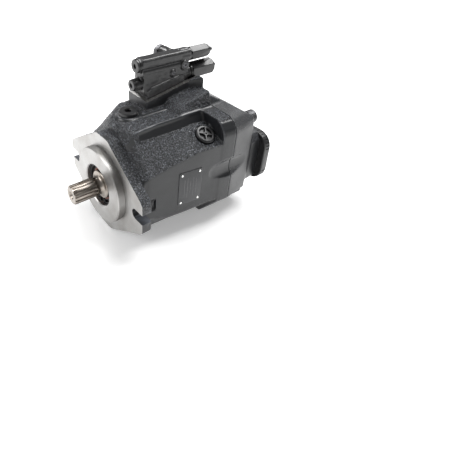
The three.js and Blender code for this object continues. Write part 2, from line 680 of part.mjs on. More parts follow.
function buildValveBody() {
  const bottom = (y) => padTop(y) + GAP;
  const base = alongX([
    [64, bottom(64)], [120, bottom(120)], [120, 120], [112, 122], [70, 115], [64, 112],
  ], -30, 3);
  const lower = alongX([
    [66, bottom(66)], [60, 111], [60, 134], [127, 134], [127, 114], [122, bottom(122)],
  ], -19, 1.5);
  const bar = alongY([
    ...arc(VALVE_X, UPPER_Z, 9, -90, 0, 3), [1.5, 149], [-0.5, 151.5],
    [-13, 151.5], [-16.5, 148], [-16.5, 134],
  ], 58.8, UPPER_STAGE.rear);
  return without(
    union(
      base,
      lower,
      bar,
      alongY(arc(VALVE_X, 134, 9.2, 0, 330, 11), 58.8, 127),
      rodY(8.8, UPPER_STAGE.front, 60, VALVE_X, UPPER_Z, 24),
      rodY(7.6, LOWER_STAGE.front, 62, VALVE_X, LOWER_Z, 20),
      rodY(9.6, 124, LOWER_STAGE.rear, VALVE_X, LOWER_Z, 20),
      rodX(10, -28, -14, VALVE_PORT.y, VALVE_PORT.z, 20),
      rodX(6.2, 0, 3.8, 121, 134, 16),
    ),
    rodY(SPOOL_RADIUS + GAP, 40, 140, VALVE_X, UPPER_Z, 20),
    rodY(SPOOL_RADIUS + GAP, 40, 140, VALVE_X, LOWER_Z, 20),
    rodX(5 + GAP, -29, -17, VALVE_PORT.y, VALVE_PORT.z, 16),
  );
}

// Spool along +Y with three lands.
function buildSpool() {
  const [land, waist, end] = [SPOOL_RADIUS, 3, SPOOL_LENGTH];
  return turned([
    [0, 0], [land, 0], [land, 10], [waist, 11], [waist, 17], [land, 18], [land, end - 16],
    [waist, end - 15], [waist, end - 8], [land, end - 7], [land, end], [0, end],
  ], 12);
}

// Hex spring housing screwed onto the valve's rear face, open towards the valve.
function buildAdjuster(acrossFlats, length) {
  const hex = alongY(hexagon(acrossFlats), 0, length - 3);
  const [corner, crown] = [acrossFlats * 0.56, acrossFlats * 0.36];
  const dome = turned([[0, 0], [corner, 0], [corner, length - 3], [crown, length], [0, length]], 24);
  return without(
    union(hex.intersect(dome), rodY(acrossFlats * 0.4, length - 4, length, 0, 0, 20)),
    rodY(SPOOL_RADIUS + GAP, -1, length - 8, 0, 0, 20),
    rodY(3.2, length - 9, length + 1, 0, 0, 16),
  );
}

// Setting screw with the spring seat at its inner end.
function buildAdjusterScrew(length) {
  return without(
    turned([
      [0, 0], [4.8, 0], [4.8, 2.5], [2.9, 3], [2.9, length - 1], [2.3, length], [0, length],
    ], 16),
    alongY(hexagon(2.8), length - 3, length + 1),
  );
}

// Socket head plug along +Y: its head's underside is at y = 0.
function socketPlug(headRadius, headHeight, stemRadius, stemLength, key) {
  return without(
    turned([
      [0, -stemLength], [stemRadius, -stemLength], [stemRadius, 0], [headRadius, 0],
      [headRadius, headHeight - 1], [headRadius - 1, headHeight], [0, headHeight],
    ], 20),
    alongY(hexagon(key), headHeight * 0.3, headHeight + 1),
  );
}

function addStage(label, stage) {
  const spoolStart = stage.front + 8.5;
  const springStart = spoolStart + SPOOL_LENGTH + GAP;
  const seat = stage.rear + 16;
  const springLength = seat - SPOOL_TRAVEL - 0.5 - springStart;
  const screwLength = stage.rear + stage.screwTip - seat;
  const at = (y) => [VALVE_X, y, stage.z];
  add(`${label}_spool`, buildSpool(), bareSteel, at(spoolStart));
  add(`${label}_valve_spring`, coil(3.3, 1.4, 0, springLength, 5), springSteel, at(springStart));
  const adjuster = buildAdjuster(stage.hex, stage.hexLength);
  add(`${label}_adjuster`, adjuster, valveBlack, at(stage.rear + GAP));
  add(`${label}_adjuster_screw`, buildAdjusterScrew(screwLength), darkSteel, at(seat));
  const plug = socketPlug(stage.plugRadius, 2.5, 4.9, 8, 5);
  add(`${label}_front_plug`, plug, darkSteel, at(stage.front - GAP), [Math.PI, 0, 0]);
}

add('valve_body', buildValveBody(), valveBlack);
addStage('upper', UPPER_STAGE);
addStage('lower', LOWER_STAGE);
add('valve_port_plug', union(
  alongX(hexagon(19, VALVE_PORT.y, VALVE_PORT.z), -36, -28.3),
  rodX(4.9, -29, -18, VALVE_PORT.y, VALVE_PORT.z, 16),
), darkSteel);

// ---------- plugs, covers and name plate ----------
add('drain_plug', socketPlug(11.8, 5.5, 8, 14, 8), valveBlack,
  [DRAIN_PLUG[0], DRAIN_PLUG[1], DRAIN_PLUG[2] + GAP], [Math.PI / 2, 0, 0]);

function buildPortCap() {
  const ring = turned([[0, 0], [12.5, 0], [12.5, 4], [10.5, 5], [8.5, 5], [8.5, 2], [0, 2]], 24);
  const spokes = Array.from({ length: 4 }, (_, i) => {
    const spoke = new THREE.BoxGeometry(2.4, 3, 8).translate(0, 3, 5.5);
    return solid(spoke.rotateY((i * Math.PI) / 2));
  });
  return union(ring, rodY(8.1, -12, 0.5, 0, 0, 24), rodY(3, 1, 4.5, 0, 0, 12), ...spokes);
}
const capAxis = new THREE.Vector3(Math.cos(FACET_TILT), 0, Math.sin(FACET_TILT));
const capTurn = new THREE.Euler().setFromQuaternion(
  new THREE.Quaternion().setFromUnitVectors(new THREE.Vector3(0, 1, 0), capAxis),
);
const capPlace = new THREE.Vector3(...DRAIN_PORT).addScaledVector(capAxis, BOSS_TOP + GAP).toArray();
add('drain_port_cap', buildPortCap(), plastic, capPlace, capTurn.toArray().slice(0, 3));

function buildCover(port) {
  const skirt = alongY(roundedBox(port.width, port.height, 20), 0, COVER_THICKNESS - 2);
  const top = loft(roundedBox(port.width, port.height, 20), COVER_THICKNESS - 2,
    roundedBox(port.width - 4, port.height - 4, 18), COVER_THICKNESS);
  return union(skirt, top, rodY(port.radius - 0.6, -9, 1, 0, 0, 28));
}
add('suction_cover', buildCover(SUCTION), plastic, [SUCTION.x, REAR_Y + GAP, SUCTION.z]);
add('pressure_cover', buildCover(PRESSURE), plastic, [PRESSURE.x, REAR_Y + GAP, PRESSURE.z]);

// Blank name plate with its four rivets, about the plate's centre on the housing's flared side.
function buildNamePlate() {
  const outline = roundedBox(33, 49, 2);
  const [rivetY, rivetZ] = [12.6, 20.6];
  const rivets = [-1, 1].flatMap((i) => [-1, 1].map((k) => (
    rodX(1.5, 0.5, 1.8, i * rivetY, k * rivetZ, 8))));
  return union(alongX(outline, GAP, 1), ...rivets);
}
add('name_plate', buildNamePlate(), plateGrey, PLATE_CENTRE, [0, 0, -SIDE_FLARE]);

// ---------- origin at the middle of the footprint ----------
pump.position.set(0, -(SHAFT_TIP_Y + REAR_Y + GAP + COVER_THICKNESS) / 2, -BASE_Z);

export default pump;
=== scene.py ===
"""Looks of the axial piston pump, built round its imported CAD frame.

Shapes are made in millimetres in the flange frame: the origin is the centre of the mounting
face, -Y points out along the shaft, +X is the name plate side and +Z the control valve side.
place() moves each finished piece to the row frame, in metres.
"""
import math

import bmesh
import bpy
import numpy as np
from mathutils import Matrix, Vector, noise


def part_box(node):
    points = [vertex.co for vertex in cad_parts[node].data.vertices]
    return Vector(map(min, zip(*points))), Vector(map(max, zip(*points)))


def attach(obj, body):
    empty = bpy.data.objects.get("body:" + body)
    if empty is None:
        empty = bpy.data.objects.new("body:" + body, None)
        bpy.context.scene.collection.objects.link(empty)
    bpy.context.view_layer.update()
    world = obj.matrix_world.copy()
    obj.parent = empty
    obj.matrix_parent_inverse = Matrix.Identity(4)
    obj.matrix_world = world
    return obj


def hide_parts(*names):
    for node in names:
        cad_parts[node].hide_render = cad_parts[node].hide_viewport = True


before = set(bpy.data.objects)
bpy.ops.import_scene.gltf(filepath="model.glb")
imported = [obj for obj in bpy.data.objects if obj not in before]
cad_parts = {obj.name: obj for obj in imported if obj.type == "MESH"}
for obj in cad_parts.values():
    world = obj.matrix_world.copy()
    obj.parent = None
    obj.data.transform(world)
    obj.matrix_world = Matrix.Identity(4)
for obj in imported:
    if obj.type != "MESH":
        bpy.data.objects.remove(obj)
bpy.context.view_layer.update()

# ---------- driving dimensions, in millimetres ----------
BASE_Z = -69
PILOT_RADIUS = 50.8
PILOT_HEIGHT = 9.5
FLANGE = 13.5
SEAM_Y = 140
GAP = 0.3
PLATE_FRONT = 141.2
REAR_Y = 200
REAR_FLANGE_Y = 122
BLOCK_FRONT = 178
SIDE_X = 85
HALF_WIDTH = 87
SIDE_FLARE = math.atan2(15, 126)
TIP_Y = -45.9
SPLINE_RADIUS = 12.5
TEETH = 15
CAVITY = 56
TILT_Y = 72
PISTONS = 9
PISTON_RADIUS = 8.75
SHOE_CIRCLE = 32.8
COVER_BOLTS = [(64, 70), (-64, 70), (56, -50), (-56, -50)]
# Each port: x, z, radius, its cover's width and height, and its bolts' half spacing in x and z.
SUCTION = (50, 7, 16, 72, 73, 15.1, 29.35)
PRESSURE = (-48, 7, 12.5, 58, 66, 13.1, 26.2)
VALVE_X = -7.5
UPPER_Z = 143
LOWER_Z = 120
DRAIN_PLUG = (0, 38, 87.4)
DRAIN_PORT = Vector((62.4, 107.5, 65.2))
FACET_TILT = math.radians(60)
DRAIN_AXIS = Vector((math.cos(FACET_TILT), 0, math.sin(FACET_TILT)))
BOSS_TOP = 0.6
PLATE_CENTRE = (77.5, 77.2, 9.9)
CONTROL_Z = 65
COUNTER_Z = -53.5
VALVE_PORT = (0, 109, 142)
LARGE_SIDE_PLUG = (0, 121, 134)
SMALL_SIDE_PLUG = (0, 103, 127)
BOLT_HOLE = 6.3
SPOOL_BORE = 5.3
SKIN = 1.6                          # left on a casting's ends and machined off later
ALONG_X, ALONG_Z = (1, 0, 0), (0, 0, 1)
SHARP = 32                          # degrees between faces that stay a hard edge
CAST, MACHINED = 0, 1

MM = 0.001
flange_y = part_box("pump_housing")[0].y / MM + PILOT_HEIGHT
shaft_low, shaft_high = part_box("drive_shaft")
axis_z = (shaft_low.z + shaft_high.z) / 2 / MM
TO_ROW = Matrix.Scale(MM, 4) @ Matrix.Translation((0, flange_y, axis_z))

scene = bpy.context.scene
STAND_INS = [bpy.data.materials.new(name) for name in ("unpainted_cast", "unpainted_machined")]


# ---------- mesh helpers ----------
def new_object(name, mesh):
    obj = bpy.data.objects.new(name, mesh)
    scene.collection.objects.link(obj)
    return obj


def solid(verts, faces, surface=CAST):
    mesh = bpy.data.meshes.new("solid")
    mesh.from_pydata([tuple(v) for v in verts], [], faces)
    mesh.validate()
    obj = new_object("solid", mesh)
    for stand_in in STAND_INS:
        mesh.materials.append(stand_in)
    mesh.polygons.foreach_set("material_index", [surface] * len(mesh.polygons))
    return obj


def outward(obj):
    """Turns a closed mesh's faces outwards."""
    bm = bmesh.new()
    bm.from_mesh(obj.data)
    bmesh.ops.recalc_face_normals(bm, faces=bm.faces)
    bm.to_mesh(obj.data)
    bm.free()
    return obj


def loft(sections, surface=CAST):
    """Closed solid through rings of points that all have the same count."""
    count = len(sections[0])
    verts = [p for section in sections for p in section]
    faces = [tuple(range(count)), tuple(range(count * (len(sections) - 1), count * len(sections)))]
    for k in range(len(sections) - 1):
        for i in range(count):
            j = (i + 1) % count
            faces.append((k * count + i, k * count + j, (k + 1) * count + j, (k + 1) * count + i))
    return outward(solid(verts, faces, surface))


def along_y(outline, y0, y1, surface=CAST):
    return loft([[(x, y, z) for x, z in outline] for y in (y0, y1)], surface)


def along_x(outline, x0, x1, surface=CAST):
    return loft([[(x, y, z) for y, z in outline] for x in (x0, x1)], surface)


def along_z(outline, z0, z1, surface=CAST):
    return loft([[(x, y, z) for x, y in outline] for z in (z0, z1)], surface)


def box(x0, x1, y0, y1, z0, z1, surface=CAST):
    return along_z([(x0, y0), (x1, y0), (x1, y1), (x0, y1)], z0, z1, surface)


def lathe(profile, at=(0, 0, 0), axis=(0, 1, 0), sides=64, surface=CAST):
    """Solid of revolution from (radius, distance along the axis) points."""
    turn = Vector((0, 1, 0)).rotation_difference(Vector(axis)).to_matrix()
    verts, rings = [], []
    for radius, along in profile:
        start = len(verts)
        steps = 1 if radius < 1e-6 else sides
        for i in range(steps):
            angle = 2 * math.pi * i / sides
            local = Vector((radius * math.sin(angle), along, radius * math.cos(angle)))
            verts.append(turn @ local + Vector(at))
        rings.append([start + (i if steps > 1 else 0) for i in range(sides)])
    faces = []
    closed = profile[0][0] > 1e-6
    pairs = list(zip(rings, rings[1:] + rings[:1])) if closed else list(zip(rings, rings[1:]))
    for a, b in pairs:
        for i in range(sides):
            j = (i + 1) % sides
            corner = [a[i], a[j], b[j], b[i]]
            face = [v for k, v in enumerate(corner) if v not in corner[:k]]
            if len(face) > 2:
                faces.append(tuple(face))
    return outward(solid(verts, faces, surface))


def rod(radius, a, b, at=(0, 0, 0), axis=(0, 1, 0), sides=48, surface=CAST):
    return lathe([(0, a), (radius, a), (radius, b), (0, b)], at, axis, sides, surface)


def ball(centre, radii):
    profile = [(max(0, math.sin(math.radians(t))), -math.cos(math.radians(t))) for t in range(0, 181, 9)]
    profile[0], profile[-1] = (0, -1), (0, 1)
    obj = lathe(profile, sides=48)
    obj.data.transform(Matrix.Translation(centre) @ Matrix.Diagonal((*radii, 1)))
    return obj


def arc(cx, cz, radius, start, end, steps):
    angles = [math.radians(start + (end - start) * i / steps) for i in range(steps + 1)]
    return [(cx + radius * math.cos(t), cz + radius * math.sin(t)) for t in angles]


def hexagon(across_flats, cx=0, cz=0):
    return arc(cx, cz, across_flats / math.sqrt(3), 30, 330, 5)


def rounded_box(width, height, radius, cx=0, cz=0, steps=8):
    a, b = width / 2 - radius, height / 2 - radius
    return (arc(cx + a, cz + b, radius, 0, 90, steps) + arc(cx - a, cz + b, radius, 90, 180, steps)
            + arc(cx - a, cz - b, radius, 180, 270, steps) + arc(cx + a, cz - b, radius, 270, 360, steps))


def apply_modifiers(obj):
    evaluated = obj.evaluated_get(bpy.context.evaluated_depsgraph_get())
    mesh = bpy.data.meshes.new_from_object(evaluated)
    obj.modifiers.clear()
    obj.data = mesh
    return obj


def joined(objects):
    """One object with every mesh in it, still overlapping."""
    verts, faces, surfaces = [], [], []
    for obj in objects:
        start = len(verts)
        verts += [tuple(v.co) for v in obj.data.vertices]
        faces += [tuple(start + i for i in p.vertices) for p in obj.data.polygons]
        surfaces += [p.material_index for p in obj.data.polygons]
        bpy.data.objects.remove(obj)
    out = solid(verts, faces)
    out.data.polygons.foreach_set("material_index", surfaces)
    return out


def combine(obj, other, operation):
    modifier = obj.modifiers.new("combine", "BOOLEAN")
    modifier.operation = operation
    modifier.solver = "MANIFOLD"
    modifier.object = other
    apply_modifiers(obj)
    bpy.data.objects.remove(other)
    return obj


def cut(obj, *cutters):
    for cutter in cutters:
        combine(obj, cutter, "DIFFERENCE")
    return obj


def fuse(obj, *others):
    for other in others:
        combine(obj, other, "UNION")
    return obj


def keep(obj, other):
    return combine(obj, other, "INTERSECT")


def remesh(obj, voxel):
    modifier = obj.modifiers.new("voxels", "REMESH")
    modifier.mode = "VOXEL"
    modifier.voxel_size = voxel
    return apply_modifiers(obj)


def soften(obj, steps):
    modifier = obj.modifiers.new("soften", "SMOOTH")
    modifier.iterations = steps
    modifier.factor = 0.5
    return apply_modifiers(obj)


def bevel(obj, width, segments=2, angle=28):
    modifier = obj.modifiers.new("bevel", "BEVEL")
    modifier.width = width
    modifier.segments = segments
    modifier.limit_method = "ANGLE"
    modifier.angle_limit = math.radians(angle)
    modifier.use_clamp_overlap = True
    return apply_modifiers(obj)


def points_of(obj, kind="co"):
    data = np.zeros(len(obj.data.vertices) * 3, np.float32)
    if kind == "co":
        obj.data.vertices.foreach_get("co", data)
    else:
        obj.data.vertex_normals.foreach_get("vector", data)
    return data.reshape(-1, 3)


def roughen(obj, amount, size, where=None):
    """Cast skin: moves the vertices along their normals by seeded noise."""
    points, normals = points_of(obj), points_of(obj, "normal")
    weight = np.ones(len(points)) if where is None else where(points, normals)
    for i, (p, n) in enumerate(zip(points, normals)):
        if weight[i] > 0:
            p += n * weight[i] * amount * noise.noise(Vector(p.tolist()) / size)
    obj.data.vertices.foreach_set("co", points.ravel())
    obj.data.update()
    return obj


def place(obj, name, materials, body, nodes=(), sharp=SHARP):
    """Finishes a piece: names it, moves it to the row frame, paints it and rides it on its body."""
    obj.name = name
    obj.data.name = name
    obj.data.transform(TO_ROW)
    while len(obj.data.materials) < len(materials):
        obj.data.materials.append(None)
    for i, material in enumerate(materials):
        obj.data.materials[i] = material
    obj.data.shade_smooth()
    obj.data.set_sharp_from_angle(angle=math.radians(sharp))
    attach(obj, body)
    if nodes:
        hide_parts(*nodes)
    return obj


# ---------- materials ----------
class Recipe:
    """A node material made line by line."""

    def __init__(self, name):
        self.material = bpy.data.materials.new(name)
        self.material.use_nodes = True
        self.tree = self.material.node_tree
        self.shader = self.tree.nodes["Principled BSDF"]
        self.where = self.node("ShaderNodeTexCoord").outputs["Object"]

    def node(self, kind, **settings):
        made = self.tree.nodes.new(kind)
        for key, value in settings.items():
            setattr(made, key, value)
        return made

    def link(self, source, target):
        self.tree.links.new(source, target)

    def stretched(self, scale):
        mapping = self.node("ShaderNodeMapping")
        mapping.inputs["Scale"].default_value = scale
        self.link(self.where, mapping.inputs["Vector"])
        return mapping.outputs["Vector"]

    def noise(self, scale, detail=3.0, roughness=0.55, where=None):
        made = self.node("ShaderNodeTexNoise")
        made.inputs["Scale"].default_value = scale
        made.inputs["Detail"].default_value = detail
        made.inputs["Roughness"].default_value = roughness
        self.link(where or self.where, made.inputs["Vector"])
        return made.outputs["Fac"]

    def ramp(self, source, stops):
        made = self.node("ShaderNodeValToRGB")
        elements = made.color_ramp.elements
        for i, (position, colour) in enumerate(stops):
            element = elements[i] if i < 2 else elements.new(position)
            element.position = position
            element.color = (*colour, 1)
        self.link(source, made.inputs["Fac"])
        return made.outputs["Color"]

    def spread(self, source, low, high, start=0.0, end=1.0):
        made = self.node("ShaderNodeMapRange")
        made.inputs["From Min"].default_value = start
        made.inputs["From Max"].default_value = end
        made.inputs["To Min"].default_value = low
        made.inputs["To Max"].default_value = high
        self.link(source, made.inputs["Value"])
        return made.outputs["Result"]

    def maths(self, operation, a, b):
        made = self.node("ShaderNodeMath", operation=operation)
        for socket, value in zip(made.inputs, (a, b)):
            if isinstance(value, (int, float)):
                socket.default_value = value
            else:
                self.link(value, socket)
        return made.outputs[0]

    def mixed(self, share, a, b):
        made = self.node("ShaderNodeMix", data_type="RGBA")
        for socket, value in ((made.inputs[0], share), (made.inputs[6], a), (made.inputs[7], b)):
            if isinstance(value, tuple):
                socket.default_value = (*value, 1)
            else:
                self.link(value, socket)
        return made.outputs[2]

    def attribute(self, name):
        return self.node("ShaderNodeAttribute", attribute_name=name).outputs["Fac"]

    def bump(self, height, distance, strength=1.0):
        made = self.node("ShaderNodeBump")
        made.inputs["Strength"].default_value = strength
        made.inputs["Distance"].default_value = distance
        self.link(height, made.inputs["Height"])
        socket = self.shader.inputs["Normal"]
        if socket.is_linked:
            self.link(socket.links[0].from_socket, made.inputs["Normal"])
        self.link(made.outputs["Normal"], socket)

    def set(self, **values):
        for key, value in values.items():
            socket = self.shader.inputs[key.replace("_", " ").title().replace("Ior", "IOR")]
            if isinstance(value, (int, float, tuple)):
                socket.default_value = (*value, 1) if isinstance(value, tuple) else value
            else:
                self.link(value, socket)


def cast_paint(name, dark, light, gloss, grain):
    """Paint over a casting: fine skin everywhere, and a coarse crackle where the skin is rough. The crackle's
    peaks there are lightened as painted highlights, and ridges and sharp edges are lightened as part wear,
    part painted highlight.
    """
    r = Recipe(name)
    rough = r.attribute("rough")
    cloud = r.noise(28, 2)
    skin = r.noise(900, 3, 0.6)
    crackle = r.spread(r.noise(620, 3, 0.65), 0, 1, 0.38, 0.62)
    tone = r.maths("ADD", r.maths("MULTIPLY", cloud, 0.6), r.maths("MULTIPLY", skin, 0.4))
    base = r.ramp(tone, [(0.3, dark), (0.7, light)])
    # Painted highlights: the crackle's peaks in the rough zones are lightened towards a pale grey, standing
    # in for glints of light on the cast texture.
    painted_glints = r.maths("MULTIPLY", rough, r.spread(crackle, 0, 0.8, 0.5, 1.0))
    tone_with_painted_glints = r.mixed(painted_glints, base, tuple(11 * c for c in light))
    # Ridges and sharp edges, found by pointiness, are lightened: partly edge wear, partly a painted highlight
    # along the ridge lines.
    edge_wear_and_highlight = r.spread(r.node("ShaderNodeNewGeometry").outputs["Pointiness"], 0, 0.7, 0.515, 0.59)
    r.set(Base_color=r.mixed(edge_wear_and_highlight, tone_with_painted_glints, tuple(9 * c for c in light)))
    even = r.spread(skin, gloss - 0.06, gloss + 0.1)
    r.set(Roughness=r.maths("ADD", even, r.maths("MULTIPLY", rough, 0.04)))
    r.bump(r.maths("MULTIPLY", crackle, r.maths("ADD", rough, 0.03)), grain)
    r.bump(skin, 0.00006)
    return r.material


def gloss_paint(name, dark, light):
    r = Recipe(name)
    cloud = r.noise(60, 3)
    skin = r.noise(800, 3, 0.6)
    r.set(Base_color=r.ramp(cloud, [(0.3, dark), (0.7, light)]), Roughness=r.spread(skin, 0.26, 0.42))
    r.set(Coat_weight=0.12, Coat_roughness=0.12)
    r.bump(r.noise(300, 2), 0.0003, 0.6)
    r.bump(skin, 0.00008)
    return r.material


def turned_metal(name, dark, light, low, high, ring_scale, centre_z):
    """Machined face with fine rings round the shaft axis."""
    r = Recipe(name)
    moved = r.node("ShaderNodeMapping")
    moved.inputs["Location"].default_value = (0, 0, -centre_z)
    moved.inputs["Scale"].default_value = (1, 0.0001, 1)
    r.link(r.where, moved.inputs["Vector"])
    length = r.node("ShaderNodeVectorMath", operation="LENGTH")
    r.link(moved.outputs["Vector"], length.inputs[0])
    rings = r.node("ShaderNodeTexNoise", noise_dimensions="1D")
    rings.inputs["Scale"].default_value = ring_scale
    rings.inputs["Detail"].default_value = 4
    r.link(length.outputs["Value"], rings.inputs["W"])
    stains = r.noise(35, 4)
    both = r.maths("ADD", r.maths("MULTIPLY", rings.outputs["Fac"], 0.45), r.maths("MULTIPLY", stains, 0.55))
    r.set(Base_color=r.ramp(both, [(0.3, dark), (0.65, light)]), Metallic=1.0)
    r.set(Roughness=r.spread(both, low, high))
    r.bump(rings.outputs["Fac"], 0.00004, 0.5)
    return r.material


def steel(name, dark, light, low, high, stretch=(300, 60, 300)):
    r = Recipe(name)
    scratches = r.noise(1, 4, 0.7, r.stretched(stretch))
    stains = r.noise(110, 4)
    tone = r.maths("ADD", r.maths("MULTIPLY", scratches, 0.5), r.maths("MULTIPLY", stains, 0.5))
    r.set(Base_color=r.ramp(tone, [(0.32, dark), (0.66, light)]), Metallic=1.0)
    r.set(Roughness=r.spread(tone, low, high, 0.3, 0.7))
    r.bump(scratches, 0.00005, 0.6)
    return r.material


def moulded(name, dark, light, low, high, scale=700, depth=0.00006):
    """Plastic, rubber or gasket sheet."""
    r = Recipe(name)
    grain = r.noise(scale, 3)
    cloud = r.noise(45, 2)
    r.set(Base_color=r.ramp(cloud, [(0.3, dark), (0.7, light)]), Roughness=r.spread(grain, low, high))
    r.bump(grain, depth)
    return r.material


centre_z = axis_z * MM
PAINT = cast_paint("cast_paint", (0.007, 0.0075, 0.0085), (0.014, 0.015, 0.017), 0.30, 0.0008)
VALVE_PAINT = gloss_paint("valve_paint", (0.006, 0.006, 0.0065), (0.013, 0.013, 0.014))
FACE = turned_metal("machined_face", (0.25, 0.235, 0.22), (0.46, 0.46, 0.455), 0.30, 0.46, 2600, centre_z)
SHAFT_STEEL = steel("shaft_steel", (0.19, 0.165, 0.14), (0.38, 0.345, 0.31), 0.20, 0.42)
STEEL = steel("bare_steel", (0.42, 0.41, 0.40), (0.60, 0.59, 0.58), 0.22, 0.40)
DARK_STEEL = steel("dark_steel", (0.05, 0.05, 0.053), (0.12, 0.12, 0.125), 0.28, 0.45)
BRONZE = steel("bronze", (0.45, 0.30, 0.12), (0.68, 0.48, 0.22), 0.24, 0.42, (200, 200, 200))
SPRING = steel("spring_steel", (0.10, 0.10, 0.11), (0.22, 0.22, 0.23), 0.28, 0.42, (500, 500, 500))
RIVET = steel("rivet_metal", (0.62, 0.62, 0.61), (0.85, 0.85, 0.84), 0.18, 0.32, (400, 400, 400))
RUBBER = moulded("seal_rubber", (0.012, 0.011, 0.010), (0.024, 0.021, 0.019), 0.42, 0.62)
LIP = moulded("seal_lip", (0.13, 0.035, 0.02), (0.22, 0.07, 0.04), 0.4, 0.6)
GASKET = moulded("gasket_sheet", (0.004, 0.004, 0.004), (0.010, 0.010, 0.010), 0.6, 0.8)
PLASTIC = moulded("black_plastic", (0.007, 0.007, 0.0075), (0.013, 0.013, 0.014), 0.32, 0.5, 520, 0.00012)
PLATE = moulded("plate_paint", (0.020, 0.021, 0.023), (0.030, 0.031, 0.034), 0.26, 0.4, 300, 0.00003)
PRINT = moulded("plate_lines", (0.08, 0.08, 0.083), (0.13, 0.13, 0.135), 0.35, 0.5)


# ---------- cutters that several pieces share ----------
def bore(radius, a, b, at=(0, 0, 0), axis=(0, 1, 0), sides=48):
    return rod(radius, a, b, at, axis, sides, MACHINED)


def slab(y0, y1):
    return box(-100, 100, y0, y1, -90, 130, MACHINED)


def underside():
    return box(-100, 100, -20, 260, BASE_Z - 9, BASE_Z, MACHINED)


def bolt_holes(y0, y1, sides=48):
    return [bore(BOLT_HOLE, y0, y1, (x, 0, z), sides=sides) for x, z in COVER_BOLTS]


def lever_slots(y0, lower_y0, y1):
    """Room for the swashplate's two levers, above and below the barrel."""
    return [box(-12, 12, y0, y1, 40, 75, MACHINED), box(-9, 9, lower_y0, y1, -63, -40, MACHINED)]


# ---------- housing ----------
# Body sections from front to rear, each with the same points: underside, right side, slanted
# facet, ridge, top, then down the left side.
NECK = [(30, -62), (56, -42), (68, -18), (68, 34), (34, 60), (30, 66), (15, 68), (-10, 70), (-38, 54),
        (-68, 26), (-68, -18), (-56, -42), (-30, -62)]
FRONT = [(32, -66), (59, -44), (71, -19), (71, 40.5), (43, 72), (38, 84), (15, 85), (-13, 84), (-47, 53),
         (-71, 30), (-71, -19), (-59, -44), (-32, -66)]
MIDDLE = [(32, -66), (53, -51), (74.3, -28), (74.3, 50), (44, 74), (38, 86), (15, 88.5), (-12, 88),
          (-42, 82), (-74.3, 44), (-74.3, -28), (-53, -51), (-32, -66)]
WAIST = [(34, -67), (50, -59), (78.8, -27), (78.8, 58.7), (45, 73), (38, 86), (15, 88.5), (-12, 88),
         (-42, 84), (-78.8, 54), (-78.8, -27), (-50, -59), (-34, -67)]
REAR = [(36, -68), (50, -62), (84.5, -25), (84.5, 58.7), (45, 73), (38, 86), (15, 88), (-12, 88),
        (-42, 84), (-84.5, 54), (-84.5, -25), (-50, -62), (-36, -68)]


def mirrored(half):
    return half + [(-x, z) for x, z in reversed(half)]


def upper_flange(x):
    return [(x, 68), (x - 2, 75), (x - 9, 83), (x - 16, 86.5), (38, 86.5)]


def block_outline(x):
    return mirrored([(x - 7, -31), (x, -22), (x, 36), (x - 7, 46)])


EARS = mirrored([(13, BASE_Z), (82, -25), (HALF_WIDTH, -20), (HALF_WIDTH, 20), (82, 25), (13, -BASE_Z)])
FLANGE_FRONT = mirrored([(51, BASE_Z), (64, -53), (82.9, -31)] + upper_flange(82.9))
SEAM = mirrored([(52, BASE_Z), (66, -53), (SIDE_X, -31)] + upper_flange(SIDE_X))
PLATE_REAR = mirrored([(50, BASE_Z), (62, -53), (78, -33)] + upper_flange(78))


def ring(outline, y):
    return [(x, y, z) for x, z in outline]


def pad_top(y):
    return 100.3 + 0.2 * (y - 60)


def valve_pad():
    plan = [(-34, 60), (8, 60), (8, 124), (12, 134), (20, 141), (-34, 141)]
    under_top = [(50, 60), (150, 60), (150, pad_top(150) + 2), (50, pad_top(50) + 2)]
    return keep(along_z(plan, 70, 125), along_x(under_top, -60, 60))


def ramp():
    """Slope that climbs beside the valve pad to the seam."""
    def outline(ridge, y):
        return ring([(-44, 80), (-38, ridge), (31, ridge), (38, 84), (38, 80)], y)
    return loft([outline(87, 84), outline(96, 93), outline(105.5, 141)])


def rib(centres, radius):
    """Rounded ridge along the casting, through the given points."""
    return loft([[(x + dx, y, z + dz) for dx, dz in arc(0, 0, radius, 0, 315, 7)] for x, y, z in centres])


def slot_cutters():
    """Open slots for the two mounting bolts."""
    half_width = 7.15
    cutters = []
    for side in (-1, 1):
        x0, x1 = sorted((side * 73, side * 95))
        cutters.append(box(x0, x1, -5, FLANGE + 4, -half_width, half_width))
        cutters.append(rod(half_width, -5, FLANGE + 4, (side * 73, 0, 0)))
    return cutters


def scoop_cutters(side):
    """Shallow channel across the seam on one side, with a round front end."""
    depth, length, height = 5, 103, 13.5
    front, x, z = 112, side * 84.5, 20
    channel = rod(1, 0, 1, sides=64)
    channel.data.transform(Matrix.Translation((x, front, z)) @ Matrix.Diagonal((depth, length, height, 1)))
    return [channel, ball((x, front + 0.5, z), (depth, height, height))]


def bolt_pocket(side):
    return rod(12.5, FLANGE, 30, (side * 80, 0, 0), sides=64)


def is_rough(points, normals):
    """1 where the casting's skin is coarse, 0 where it is smooth."""
    x, y, z = points.T
    up = normals[:, 2]
    top_right = (x > 0) & (up > 0.3) & (z > 38) & (y > 6) & (y < 121)
    top_left = (x <= 0) & (up > 0.2) & (z > 40) & (y < 60)
    ramp_top = (z > 84) & (y > 84) & (x > 8) & (up > 0.3)
    rim = (y < 13.4) & (y > 0.5) & (normals[:, 0] > 0.2) & (z > 15)
    plug = (x ** 2 + (y - DRAIN_PLUG[1]) ** 2 < 17 ** 2) & (z > 80)
    band = (x > 36.5) & (x < 44.5) & (z > 74) & (y > 26)
    ridge = (np.abs(x - 15) < 3) & (y > 48) & (y < 84)
    rough = ((top_right | top_left | ramp_top | rim) & ~plug & ~band & ~ridge).astype(float)
    rough[y > PLATE_FRONT] = 0.3 * (up[y > PLATE_FRONT] > 0.25)
    return rough


def mark_rough(obj):
    points, normals = points_of(obj), points_of(obj, "normal")
    layer = obj.data.attributes.new("rough", "FLOAT", "POINT")
    layer.data.foreach_set("value", is_rough(points, normals).astype(np.float32))


